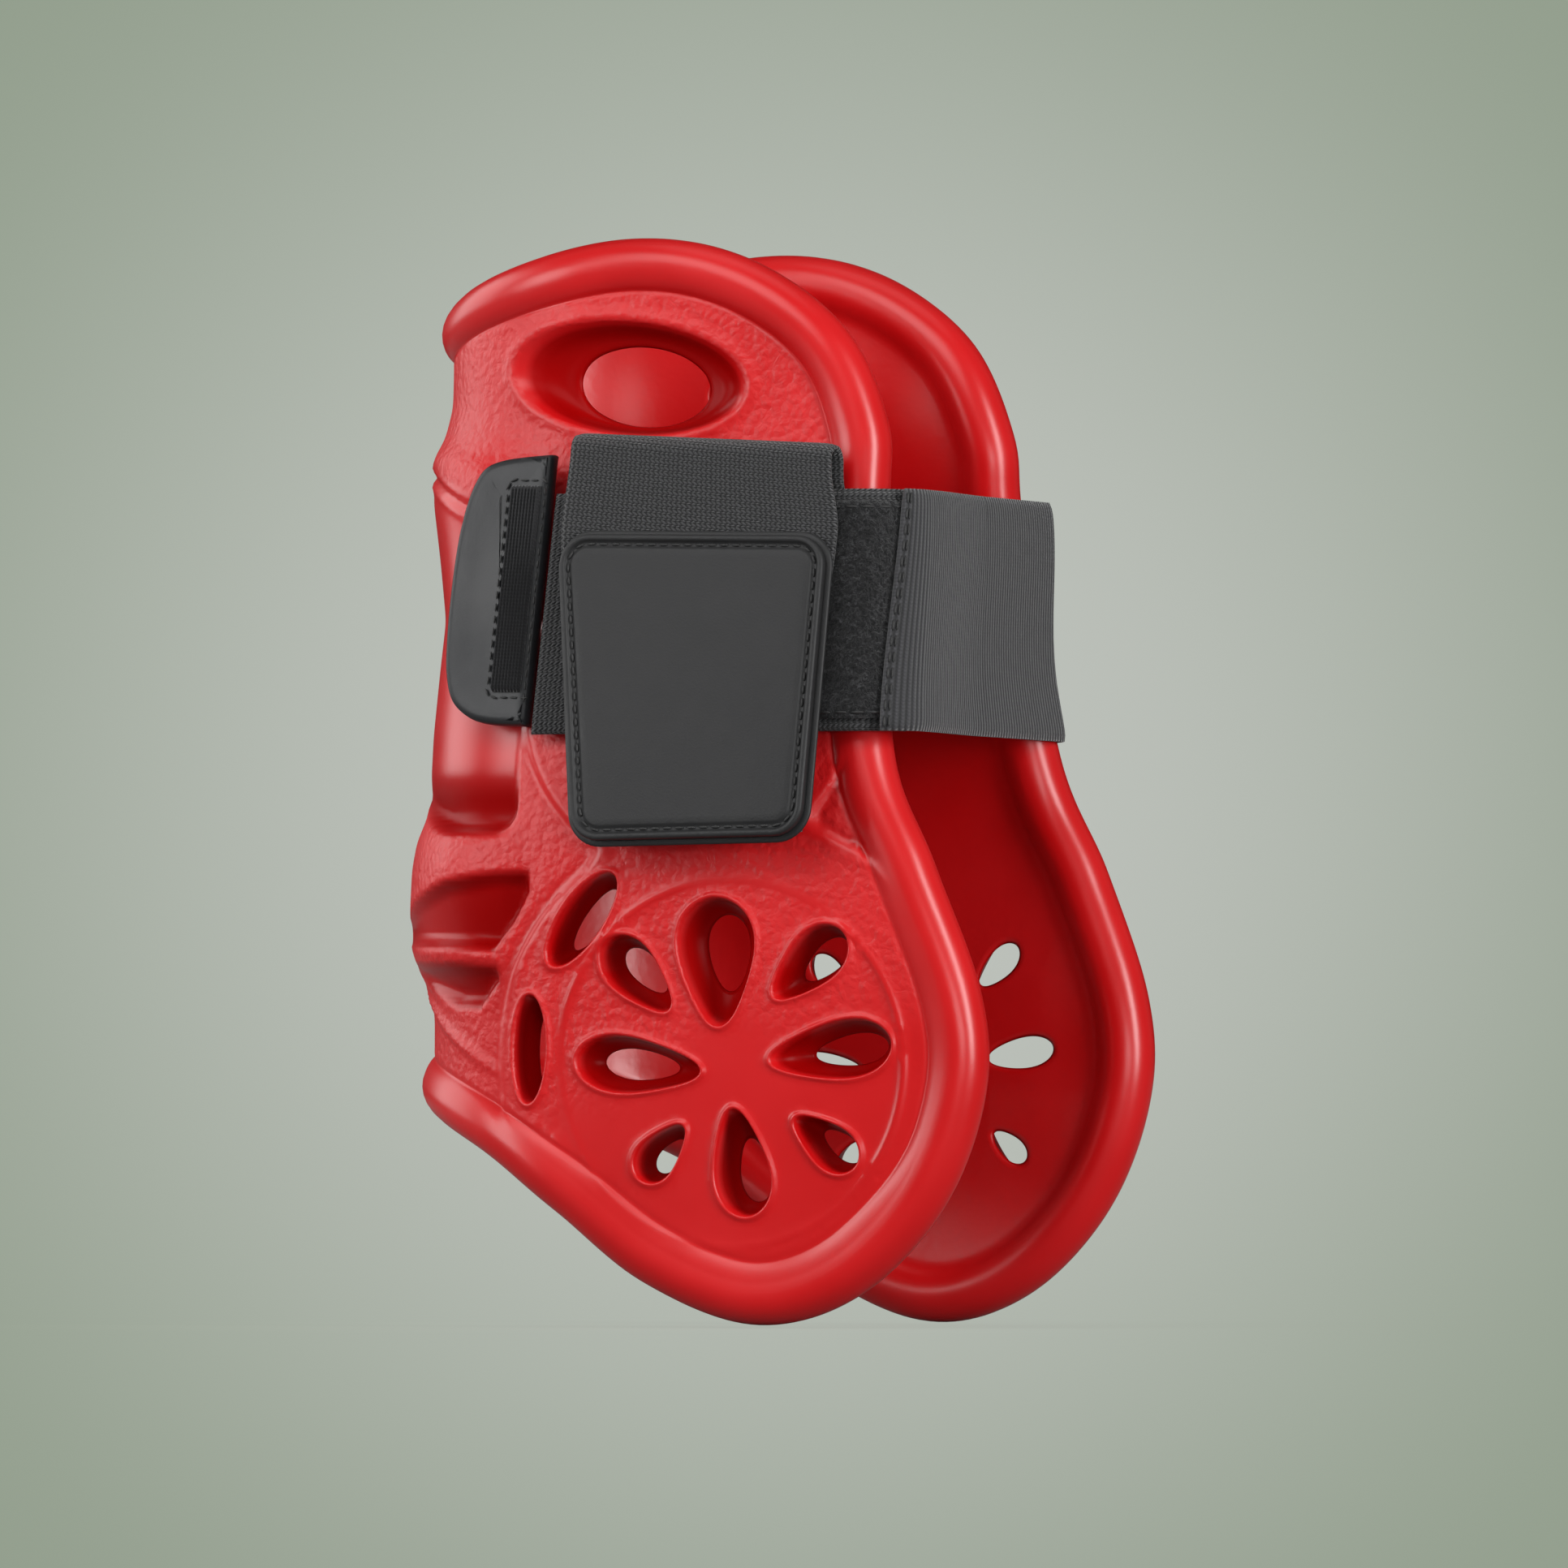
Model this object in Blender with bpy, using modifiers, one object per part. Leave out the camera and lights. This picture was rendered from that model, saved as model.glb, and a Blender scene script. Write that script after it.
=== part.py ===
"""A fetlock boot for a horse: a moulded shell round the back of the leg, closed by an elastic strap.

The frame: +X runs from the spine behind the leg to the boot's open front, the near wing lies at -Y and
the far wing at +Y, and +Z points up the leg. The origin is on the leg's axis at the strap's middle.
"""
import math

import bmesh
import bpy
from mathutils import Matrix, Vector

MM = 0.001

# The shell's wall, its plan and its flare. Widths and depths run to the middle of the wall.
WALL = 5.5 * MM
BEAD_RADIUS = 4.8 * MM
TOP_HALF_WIDTH = 28.3 * MM
FETLOCK_HALF_WIDTH = 40.5 * MM
FLARE_START = 40 * MM
FLARE_END = -50 * MM
HEM_TUCK = 2.5 * MM
TOE_IN = 5 * MM
TOP_SPINE_DEPTH = 32.4 * MM
HEM_SPINE_DEPTH = 34.2 * MM

# The side view: where the bead's centre line runs, in shares of its reach and of its two heights.
WING_REACH = 70 * MM
TOP_HEIGHT = 57.8 * MM
BOTTOM_DEPTH = 112.9 * MM
TOP_EDGE_SHARES = (
    (-0.49, 0.80), (-0.26, 0.91), (0.09, 1.0), (0.36, 0.955), (0.585, 0.78), (0.69, 0.53), (0.704, 0.29))
BOTTOM_EDGE_SHARES = (
    (0.757, 0.204), (0.877, 0.386), (0.985, 0.566), (0.994, 0.70), (0.90, 0.848), (0.714, 0.962),
    (0.491, 1.0), (0.243, 0.944), (0.03, 0.843), (-0.186, 0.750), (-0.49, 0.675))

# The spine's rolls: how far the outer skin stands out at each height, as shares of the ridge.
RIDGE_LIFT = 4.4 * MM
GUARD_FADE_START = math.radians(56)
GUARD_FADE_END = math.radians(86)
UPPER_ROLL_SHARES = ((0.62, 0.0), (0.52, 0.34), (0.46, 0.77), (0.34, 0.75), (0.17, 0.4), (0.0, 0.1))
LOWER_ROLL_SHARES = (
    (0.07, 0.18), (0.17, 0.34), (0.25, 0.34), (0.30, 0.42), (0.35, 0.91), (0.41, 1.0), (0.48, 0.95),
    (0.515, 0.6), (0.545, 0.1), (0.58, 0.0))
# The scoops on the spine's flanks. Each row has its middle at the scoop's start and at its end and its
# half height, as shares of the bottom depth, then its two angles as shares of a flank, then its depth.
SCOOP_DEPTH = 2.8 * MM
SCOOP_ROUND_SHARE = 0.25
SCOOP_SHARES = (
    (-0.285, -0.285, 0.055, 0.25, 0.88, 0.8),
    (-0.450, -0.435, 0.070, 0.25, 0.86, 1.0),
    (-0.540, -0.545, 0.040, 0.25, 0.72, 0.75))

# The oval funnel near the top of each wing.
FUNNEL_LENGTH = 43 * MM
FUNNEL_HEIGHT = 20 * MM
THROAT_LENGTH = 26 * MM
THROAT_HEIGHT = 14 * MM
FUNNEL_CENTRE = (8.7 * MM, 37.4 * MM)
THROAT_SHIFT = (1.2 * MM, -1.3 * MM)
FUNNEL_TILT = math.radians(-5)

# The flower of vents, its raised ring, and the two slots behind it. Each row of its tables has a vent's
# angle in degrees; a large petal's length and width follow, a small one's radius and size, a slot's width.
FLOWER_CENTRE = (32.4 * MM, -74.6 * MM)
RING_RADIUS = 29 * MM
RING_BEAD = 0.8 * MM
PETAL_LENGTH = 22 * MM
PETAL_WIDTH = 12 * MM
PETAL_TIP_RADIUS = 6.5 * MM
LARGE_PETAL_SHARES = ((7, 0.96, 0.85), (98, 0.97, 1.15), (181, 0.98, 0.84), (274, 0.85, 0.88))
SMALL_PETAL_RADIUS = 21 * MM
SMALL_PETAL_LENGTH = 15 * MM
SMALL_PETAL_WIDTH = 9 * MM
SMALL_PETAL_SHARES = ((50, 1.01, 1.0), (139, 1.05, 1.0), (228, 0.94, 0.81), (321, 0.98, 0.87))
SLOT_RADIUS = 37 * MM
SLOT_LENGTH = 18.5 * MM
SLOT_WIDTH = 6.4 * MM
SLOT_SHARES = ((138, 1.1), (176, 0.9))
THROAT_LENGTH_SHARE = 0.62
THROAT_WIDTH_SHARE = 0.54
THROAT_SLIDE_SHARE = 0.1
TEARDROP_POWER = 0.6
TEARDROP_FULLNESS_SHARE = 1.19

# The strap and its layers.
FIT_GAP = 0.3 * MM
STRAP_HALF_WIDTH = 20 * MM
WEBBING = 1.2 * MM
TAPE = 0.7 * MM
LOOP_TAPE = 0.9 * MM
TAPE_MARGIN = 2 * MM
ELASTIC = 1.6 * MM
STRAP_LEFT = -1.6 * MM
PAD_LEFT = 3 * MM
PAD_RIGHT = 34 * MM
PAD_TOP = 8 * MM
PAD_BOTTOM = -17 * MM
STRAP_CORNER = 1.5 * MM

# The lock tab and its label.
TAB_WIDTH = 49.6 * MM
TAB_LEFT = 1.2 * MM
TAB_FOLD_HEIGHT = 28.5 * MM
TAB_THICKNESS = 1.2 * MM
TAB_BACK_LAP = 10 * MM
LOCK_TAPE_WIDTH = 42 * MM
LABEL_TOP_WIDTH = 49.2 * MM
LABEL_BOTTOM_WIDTH = 44.6 * MM
LABEL_HEIGHT = 52.4 * MM
LABEL_TOP = 12.3 * MM
LABEL_CORNER = 6 * MM
LABEL_BACKING = 0.8 * MM
LABEL_THICKNESS = 1.7 * MM
LABEL_BORDER = 0.9 * MM
LABEL_RIM_WIDTH = 1.6 * MM
LABEL_RIM_DEPTH = 0.5 * MM

# The pull at the strap's end.
GRIP_TOP = 25.6 * MM
GRIP_BOTTOM = -20 * MM
GRIP_REACH = 19 * MM
GRIP_THICKNESS = 3 * MM
GRIP_CORNER = 6 * MM
GRIP_SET_IN = math.radians(9)
GRIP_SHARES = ((0, 0), (0, 1), (-0.75, 1), (-1, 0.27), (-0.92, 0))
GRIP_STRIP_WIDTH = 8.5 * MM
GRIP_STRIP_INSET = 2 * MM
GRIP_STRIP_END = 4 * MM
GRIP_RIB = 0.5 * MM
GRIP_RIB_COUNT = 8
GRIP_RIB_SLOPE_SHARE = 0.25

# The far end of the elastic and its rivets.
ANCHOR_LEFT = 16 * MM
RIVET_PLACE = 28 * MM
RIVET_HEIGHT_SHARE = 0.5
RIVET_SHANK = 1.8 * MM
RIVET_HEAD = 4.5 * MM
RIVET_DOME = 1.4 * MM
DOME_TURNS = [math.radians(degrees) for degrees in (0, 25, 50, 75)]
RIVET_RIM = 0.6 * MM
RIVET_ROLL = 3 * MM
WASHER_RADIUS = 5 * MM
WASHER_THICKNESS = 0.6 * MM

# How finely the surfaces are drawn, and how far a cutter runs past what it cuts.
OVERRUN = 3 * MM
MERGE_SHARE = 0.01
ROW_STEP = 6.4 * MM
SCOOP_STEP = 2.1 * MM
SCOOP_ZONE_SHARES = (0.19, 0.6)
SPINE_STEPS = 20
WING_STEPS = 4
EDGE_STEPS = 4
BEAD_RESOLUTION = 2
BEND_STEPS = 6
VENT_SIDES = 18
OVAL_SIDES = 26
RING_STEPS = 40
RIVET_STEPS = 16

RED_FOAM = ((0.56, 0.012, 0.018, 1), 0.45, 0.0)
BLACK_WEBBING = ((0.035, 0.036, 0.038, 1), 0.9, 0.0)
BLACK_TAPE = ((0.02, 0.02, 0.022, 1), 1.0, 0.0)
BLACK_ELASTIC = ((0.05, 0.052, 0.055, 1), 0.85, 0.0)
GREY_RUBBER = ((0.07, 0.07, 0.075, 1), 0.5, 0.0)
GLOSSY_RUBBER = ((0.055, 0.06, 0.065, 1), 0.3, 0.0)
STEEL = ((0.6, 0.6, 0.6, 1), 0.3, 1.0)


def clear_scene():
    """Remove everything that the new file starts with."""
    for old in list(bpy.data.objects):
        bpy.data.objects.remove(old, do_unlink=True)


def new_collection(name):
    """Add a collection to the scene."""
    group = bpy.data.collections.new(name)
    bpy.context.scene.collection.children.link(group)
    return group


def new_material(name, finish):
    """Make a plain material from its colour, roughness and metallic value."""
    colour, roughness, metallic = finish
    material = bpy.data.materials.new(name)
    material.use_nodes = True
    shader = material.node_tree.nodes["Principled BSDF"]
    shader.inputs["Base Color"].default_value = colour
    shader.inputs["Roughness"].default_value = roughness
    shader.inputs["Metallic"].default_value = metallic
    material.diffuse_color = colour
    return material


def smoothstep(start, end, value):
    """Go smoothly from 0 at start to 1 at end."""
    share = min(max((value - start) / (end - start), 0), 1)
    return share * share * (3 - 2 * share)


def blend(low, high, share):
    """Mix two numbers or vectors."""
    return low + (high - low) * share


def read_table(rows, place):
    """Read a table of (place, value) rows by straight lines between its rows."""
    rows = sorted(rows)
    if place <= rows[0][0]:
        return rows[0][1]
    for (low, low_value), (high, high_value) in zip(rows, rows[1:]):
        if place <= high:
            return blend(low_value, high_value, (place - low) / (high - low))
    return rows[-1][1]


def smooth_path(points, steps):
    """Draw a Catmull-Rom curve through some points."""
    path = []
    last = len(points) - 1
    for index in range(last):
        before = points[max(index - 1, 0)]
        start = points[index]
        end = points[index + 1]
        after = points[min(index + 2, last)]
        for step in range(steps):
            share = step / steps
            path.append(0.5 * (2 * start + (end - before) * share
                               + (2 * before - 5 * start + 4 * end - after) * share ** 2
                               + (3 * start - before - 3 * end + after) * share ** 3))
    path.append(points[-1].copy())
    return path


# The shell's form as functions, which everything that touches the shell reads.

def half_width(height):
    """Half the boot's width at the spine end of the wings."""
    flare = smoothstep(FLARE_START, FLARE_END, height)
    tuck = max(FLARE_END - height, 0) / (BOTTOM_DEPTH + FLARE_END)
    return blend(TOP_HALF_WIDTH, FETLOCK_HALF_WIDTH, flare) - HEM_TUCK * tuck ** 2


def spine_depth(height):
    """How far behind the leg's axis the spine's wall lies."""
    share = (TOP_HEIGHT - height) / (TOP_HEIGHT + BOTTOM_DEPTH)
    return blend(TOP_SPINE_DEPTH, HEM_SPINE_DEPTH, share)


def wing_half_width(reach, height):
    """Half the boot's width at a place along the wing."""
    return half_width(height) - TOE_IN * (max(reach, 0) / WING_REACH) ** 2


def spine_point(angle, height, lift):
    """A point on the spine's arc: -90 degrees is the near wing's root, 90 the far one's."""
    return Vector((-(spine_depth(height) + lift) * math.cos(angle),
                   (half_width(height) + lift) * math.sin(angle), height))


def wing_point(side, reach, height, lift):
    """A point on a wing, lifted from the middle of its wall."""
    return Vector((reach, side * (wing_half_width(reach, height) + lift), height))


def roll_lift(angle, height):
    """How far the spine's rolls stand out of the plain wall."""
    if height > 0:
        share = read_table(UPPER_ROLL_SHARES, height / TOP_HEIGHT)
    else:
        share = read_table(LOWER_ROLL_SHARES, -height / BOTTOM_DEPTH)
    return RIDGE_LIFT * share * (1 - smoothstep(GUARD_FADE_START, GUARD_FADE_END, abs(angle)))


def scoop_depth(angle, height):
    """How deep the scoops on the spine's flanks bite at a place."""
    flank = abs(angle) / (math.pi / 2)
    deepest = 0
    for start, end, half, left, right, share in SCOOP_SHARES:
        place = (flank - left) / (right - left)
        if 0 < place < 1:
            rounding = max(0, 1 - (1 - place) / SCOOP_ROUND_SHARE)
            reach = half * math.sqrt(1 - rounding ** 2)
            across = (height / BOTTOM_DEPTH - blend(start, end, place)) / reach
            bowl = max(0, 1 - across ** 2)
            deepest = max(deepest, share * smoothstep(0, 1 - SCOOP_ROUND_SHARE, place) * bowl)
    return SCOOP_DEPTH * deepest


def edge_path():
    """The bead's centre line in the side view, from the spine's top to its hem."""
    top = [Vector((WING_REACH * x, TOP_HEIGHT * z)) for x, z in TOP_EDGE_SHARES]
    bottom = [Vector((WING_REACH * x, -BOTTOM_DEPTH * z)) for x, z in BOTTOM_EDGE_SHARES]
    return smooth_path(top + bottom, EDGE_STEPS)


EDGE = edge_path()


def spine_edge(angle, is_top):
    """The bead's centre on the spine at an angle."""
    half = EDGE[:len(EDGE) // 3] if is_top else EDGE[-len(EDGE) // 3:]
    rows = [(point.x, point.y) for point in half if point.x < WING_REACH / 2]
    height = rows[0][1]
    for _ in range(3):
        height = read_table(rows, spine_point(angle, height, 0).x)
    return spine_point(angle, height, 0)


def front_edge(side, height):
    """The bead's centre on the front edge at a height."""
    reach = 0
    for low, high in zip(EDGE, EDGE[1:]):
        if (low.y - height) * (high.y - height) <= 0 and low.y != high.y:
            share = (height - low.y) / (high.y - low.y)
            reach = max(reach, blend(low.x, high.x, share))
    return wing_point(side, reach, height, 0)


# Small builders.

def mesh_object(name, mesh, group, material=None):
    """Link a mesh as a new object."""
    piece = bpy.data.objects.new(name, mesh)
    group.objects.link(piece)
    if material:
        mesh.materials.append(material)
    return piece


def hide_cutter(cutter):
    """Show a cutter as a wire, and leave it out of renders."""
    cutter.hide_render = True
    cutter.display_type = 'WIRE'
    return cutter


def cutter_object(name, mesh, group):
    """Link a mesh that only cuts."""
    return hide_cutter(mesh_object(name, mesh, group))


def sheet_mesh(name, rows):
    """An open sheet from rows of points."""
    width = len(rows[0])
    faces = [(row * width + column, row * width + column + 1,
              (row + 1) * width + column + 1, (row + 1) * width + column)
             for row in range(len(rows) - 1) for column in range(width - 1)]
    mesh = bpy.data.meshes.new(name)
    mesh.from_pydata([point for row in rows for point in row], [], faces)
    return mesh


def add_loft(form, rings):
    """Bridge closed rings of points into one closed body inside a bmesh."""
    loops = [[form.verts.new(point) for point in ring] for ring in rings]
    for low, high in zip(loops, loops[1:]):
        for index in range(len(low)):
            after = (index + 1) % len(low)
            form.faces.new((low[index], low[after], high[after], high[index]))
    form.faces.new(list(reversed(loops[0])))
    form.faces.new(loops[-1])


def finished_mesh(name, form):
    """Turn a bmesh into a mesh with its faces pointing out."""
    bmesh.ops.recalc_face_normals(form, faces=form.faces)
    mesh = bpy.data.meshes.new(name)
    form.to_mesh(mesh)
    form.free()
    return mesh


def curve_to_mesh(piece, group):
    """Replace a curve object with the mesh that it draws, its caps welded."""
    bpy.context.view_layer.update()
    drawn = piece.evaluated_get(bpy.context.evaluated_depsgraph_get())
    mesh = bpy.data.meshes.new_from_object(drawn)
    form = bmesh.new()
    form.from_mesh(mesh)
    bmesh.ops.remove_doubles(form, verts=form.verts, dist=FIT_GAP * MERGE_SHARE)
    bmesh.ops.recalc_face_normals(form, faces=form.faces)
    form.to_mesh(mesh)
    form.free()
    solid = bpy.data.objects.new(piece.name + "_mesh", mesh)
    solid.matrix_world = piece.matrix_world.copy()
    group.objects.link(solid)
    name = piece.name
    bpy.data.objects.remove(piece, do_unlink=True)
    solid.name = name
    return solid


def plate_object(name, outline, thickness, group, material, hole=None):
    """A flat plate: a filled 2D outline, extruded to its thickness about its own plane."""
    curve = bpy.data.curves.new(name, 'CURVE')
    curve.dimensions = '2D'
    curve.fill_mode = 'BOTH'
    curve.extrude = thickness / 2
    for points in [outline] + ([hole] if hole else []):
        spline = curve.splines.new('POLY')
        spline.points.add(len(points) - 1)
        for target, (x, y) in zip(spline.points, points):
            target.co = (x, y, 0, 1)
        spline.use_cyclic_u = True
    plate = bpy.data.objects.new(name, curve)
    group.objects.link(plate)
    solid = curve_to_mesh(plate, group)
    if material:
        solid.data.materials.clear()
        solid.data.materials.append(material)
    return solid


def rounded_outline(corners, radii, steps=4):
    """Round the corners of a convex outline given anticlockwise, each with its own radius."""
    points = []
    count = len(corners)
    for index, radius in enumerate(radii):
        corner = Vector(corners[index])
        before = (Vector(corners[index - 1]) - corner).normalized()
        after = (Vector(corners[(index + 1) % count]) - corner).normalized()
        half = before.angle(after) / 2
        reach = radius / math.tan(half)
        centre = corner + (before + after).normalized() * (radius / math.sin(half))
        start = corner + before * reach - centre
        end = corner + after * reach - centre
        for step in range(steps + 1):
            points.append(centre + start.slerp(end, step / steps) * radius)
    return [(point.x, point.y) for point in points]


def ring_outline(radius, steps):
    """A circle's points, anticlockwise."""
    turns = [2 * math.pi * step / steps for step in range(steps)]
    return [(radius * math.cos(turn), radius * math.sin(turn)) for turn in turns]


def add_boolean(piece, operation, cutter):
    """Cut or join with the exact solver."""
    modifier = piece.modifiers.new(operation.title(), 'BOOLEAN')
    modifier.operation = operation
    modifier.solver = 'EXACT'
    modifier.object = cutter


def add_solidify(piece, thickness):
    """Thicken a sheet along its normals."""
    modifier = piece.modifiers.new("Thickness", 'SOLIDIFY')
    modifier.thickness = thickness
    modifier.offset = 1
    modifier.use_even_offset = True
    return modifier


# The shell.

def plan_stations():
    """The places round the U, from the near wing's front to the far wing's."""
    reach = WING_REACH + BEAD_RADIUS + OVERRUN
    near = [(-1, reach * (WING_STEPS - step) / WING_STEPS) for step in range(WING_STEPS)]
    arc = [(0, math.pi * (step / SPINE_STEPS - 0.5)) for step in range(SPINE_STEPS + 1)]
    far = [(1, reach * (step + 1) / WING_STEPS) for step in range(WING_STEPS)]
    return near + arc + far


def row_heights():
    """The heights of the wall's rows, closer together across the scoops."""
    height = TOP_HEIGHT + OVERRUN
    heights = [height]
    while height > -BOTTOM_DEPTH - OVERRUN:
        share = height / -BOTTOM_DEPTH
        is_fine = SCOOP_ZONE_SHARES[0] < share < SCOOP_ZONE_SHARES[1]
        height -= SCOOP_STEP if is_fine else ROW_STEP
        heights.append(height)
    return heights


def shell_wall(group, material):
    """The U-shaped wall, from its inner skin outwards, as thick as its rolls and scoops make it."""
    rows = []
    thicknesses = []
    for height in row_heights():
        points = []
        for side, place in plan_stations():
            thickness = WALL
            if side:
                points.append(wing_point(side, place, height, -WALL / 2))
            else:
                points.append(spine_point(place, height, -WALL / 2))
                thickness += roll_lift(place, height) - scoop_depth(place, height)
            thicknesses.append(thickness)
        rows.append(points)
    shell = mesh_object("shell", sheet_mesh("shell", rows), group, material)
    shell.data.shade_smooth()
    thickest = WALL + RIDGE_LIFT
    share = shell.vertex_groups.new(name="wall_share")
    for index, thickness in enumerate(thicknesses):
        share.add([index], thickness / thickest, 'REPLACE')
    solid = add_solidify(shell, thickest)
    solid.vertex_group = "wall_share"
    solid.use_even_offset = False
    return shell


def side_profile(cutters):
    """The prism that trims the wall to the bead's centre line."""
    back = -(HEM_SPINE_DEPTH + WALL + RIDGE_LIFT + OVERRUN)
    outline = [(back, EDGE[0].y)] + [(point.x, point.y) for point in EDGE] + [(back, EDGE[-1].y)]
    width = 2 * (FETLOCK_HALF_WIDTH + WALL + OVERRUN)
    profile = plate_object("side_profile", outline, width, cutters, None)
    profile.rotation_euler = (math.pi / 2, 0, 0)
    return hide_cutter(profile)


def bead_points():
    """The bead's centre line in space, once round the boot."""
    step = math.pi / SPINE_STEPS
    angles = [step * (index - SPINE_STEPS / 2) for index in range(SPINE_STEPS + 1)]
    wing = [point for point in EDGE if point.x > BEAD_RADIUS]
    near = [wing_point(-1, point.x, point.y, 0) for point in wing]
    far = [wing_point(1, point.x, point.y, 0) for point in wing]
    top = [spine_edge(angle, True) for angle in angles]
    bottom = [spine_edge(angle, False) for angle in angles]
    return top + far + bottom[::-1] + near[::-1]


def round_bead(name, points, radius, cutters):
    """A closed bead of round section along some points."""
    curve = bpy.data.curves.new(name, 'CURVE')
    curve.dimensions = '3D'
    curve.fill_mode = 'FULL'
    curve.bevel_depth = radius
    curve.bevel_resolution = BEAD_RESOLUTION
    spline = curve.splines.new('POLY')
    spline.points.add(len(points) - 1)
    for target, point in zip(spline.points, points):
        target.co = (*point, 1)
    spline.use_cyclic_u = True
    bead = bpy.data.objects.new(name, curve)
    cutters.objects.link(bead)
    return hide_cutter(curve_to_mesh(bead, cutters))


def vent_ring(side):
    """The thin raised ring round a wing's flower of vents."""
    places = ring_outline(RING_RADIUS, RING_STEPS)
    return [wing_point(side, FLOWER_CENTRE[0] + x, FLOWER_CENTRE[1] + z, WALL / 2) for x, z in places]


def vent_outline(kind, length, width):
    """An oval or a teardrop of a given size; a teardrop points to -X."""
    points = []
    sides = VENT_SIDES if kind == "teardrop" else OVAL_SIDES
    for step in range(sides):
        turn = 2 * math.pi * step / sides
        across = math.sin(turn)
        if kind == "teardrop":
            across *= abs(math.cos(turn / 2)) ** TEARDROP_POWER * TEARDROP_FULLNESS_SHARE
        points.append(Vector((math.cos(turn) * length / 2, across * width / 2)))
    return points


def vent_rings(side, kind, centre, turn, outer, throat, slide):
    """The two end rings of a tapered vent, run past both skins of the wing."""
    skin = wing_half_width(centre[0], centre[1])
    spin = Matrix.Rotation(turn, 2)
    rings = []
    for end in (-OVERRUN / WALL, 1 + OVERRUN / WALL / 2):
        size = (blend(outer[0], throat[0], end), blend(outer[1], throat[1], end))
        middle = Vector(centre) + Vector(slide) * end
        y = side * (skin + WALL / 2 - WALL * end)
        ring = [middle + spin @ point for point in vent_outline(kind, *size)]
        rings.append([Vector((point.x, y, point.y)) for point in ring])
    return rings


def add_vent(form, side, kind, centre, turn, length, width, throat=None, slide=None):
    """Add one tapered vent to a bmesh of cutters."""
    throat = throat or (length * THROAT_LENGTH_SHARE, width * THROAT_WIDTH_SHARE)
    if slide is None:
        shift = length * THROAT_SLIDE_SHARE
        slide = (shift * math.cos(turn), shift * math.sin(turn))
    add_loft(form, vent_rings(side, kind, centre, turn, (length, width), throat, slide))


def flower_place(radius, turn):
    """A place round the flower's centre."""
    return (FLOWER_CENTRE[0] + radius * math.cos(turn), FLOWER_CENTRE[1] + radius * math.sin(turn))


def vent_cutters(cutters):
    """The funnels, petals and slots of both wings."""
    form = bmesh.new()
    for side in (-1, 1):
        add_vent(form, side, "oval", FUNNEL_CENTRE, FUNNEL_TILT, FUNNEL_LENGTH, FUNNEL_HEIGHT,
                 (THROAT_LENGTH, THROAT_HEIGHT), THROAT_SHIFT)
        for degrees, length_share, width_share in LARGE_PETAL_SHARES:
            turn = math.radians(degrees)
            length = PETAL_LENGTH * length_share
            centre = flower_place(PETAL_TIP_RADIUS + length / 2, turn)
            add_vent(form, side, "teardrop", centre, turn, length, PETAL_WIDTH * width_share)
        for degrees, radius_share, size_share in SMALL_PETAL_SHARES:
            turn = math.radians(degrees)
            centre = flower_place(SMALL_PETAL_RADIUS * radius_share, turn)
            add_vent(form, side, "teardrop", centre, turn, SMALL_PETAL_LENGTH * size_share,
                     SMALL_PETAL_WIDTH * size_share)
        for degrees, width_share in SLOT_SHARES:
            turn = math.radians(degrees)
            centre = flower_place(SLOT_RADIUS, turn)
            add_vent(form, side, "oval", centre, turn + math.pi / 2, SLOT_LENGTH, SLOT_WIDTH * width_share,
                     None, (0, 0))
    return cutter_object("vent_cutters", finished_mesh("vent_cutters", form), cutters)


# The strap's own frame: X along the strap to the front, Y up, Z out from the near wing.

def wing_stack():
    """How far the webbing's inner face stands off the wing, over its pad and hook tape."""
    return WALL / 2 + TAPE * 2 + FIT_GAP * 3


def rim_touch(height):
    """Where the webbing's inner face may touch the near bead, over the lock tab's back leaf or bare."""
    stand_off = BEAD_RADIUS + FIT_GAP
    if height >= STRAP_HALF_WIDTH - TAB_BACK_LAP:
        stand_off += TAB_THICKNESS + FIT_GAP
    return front_edge(-1, height) - Vector((0, stand_off, 0))


def strap_frame():
    """The plane that the webbing's inner face lies in, clear of the wing, the pad and the bead."""
    heights = (-STRAP_HALF_WIDTH, STRAP_HALF_WIDTH - TAB_BACK_LAP, STRAP_HALF_WIDTH, TAB_FOLD_HEIGHT)
    touches = [rim_touch(height) for height in heights]
    left = wing_point(-1, 0, 0, wing_stack())
    rim = blend(touches[0], touches[1], 0.5)
    along = Vector((rim.x - left.x, rim.y - left.y, 0)).normalized()
    lean = (touches[1].y - touches[0].y) / (heights[1] - heights[0])
    up = Vector((0, lean, 1))
    up = (up - along * up.dot(along)).normalized()
    out = along.cross(up).normalized()
    stack = [wing_point(-1, PAD_RIGHT * step / BEND_STEPS, height, wing_stack())
             for height in heights for step in range(BEND_STEPS + 1)]
    stand_off = max(place.dot(out) for place in touches + stack)
    origin = rim + out * (stand_off - rim.dot(out))
    origin -= up * (origin.z / up.z)
    frame = Matrix((along, up, out)).transposed().to_4x4()
    frame.translation = origin
    return frame


STRAP = strap_frame()


def strap_axes():
    """The strap frame's along, up and out directions."""
    return tuple(STRAP.to_3x3().col)


def rim_circle(height):
    """The bead's centre at a height, and the radius at which the webbing turns round it."""
    centre = front_edge(-1, height)
    out = strap_axes()[2]
    return centre, (STRAP.translation - centre).dot(out)


def bend_point(share, height, lift):
    """A point where the strap turns round the near bead: 0 on the wing, 1 at the open front."""
    centre, radius = rim_circle(height)
    out = strap_axes()[2]
    flat = Vector((out.x, out.y, 0))
    angle = share * (math.pi / 2 - math.asin(flat.x / flat.length))
    turn = Matrix.Rotation(angle, 3, 'Z')
    return centre + turn @ flat.normalized() * ((radius + lift) / flat.length)


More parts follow.
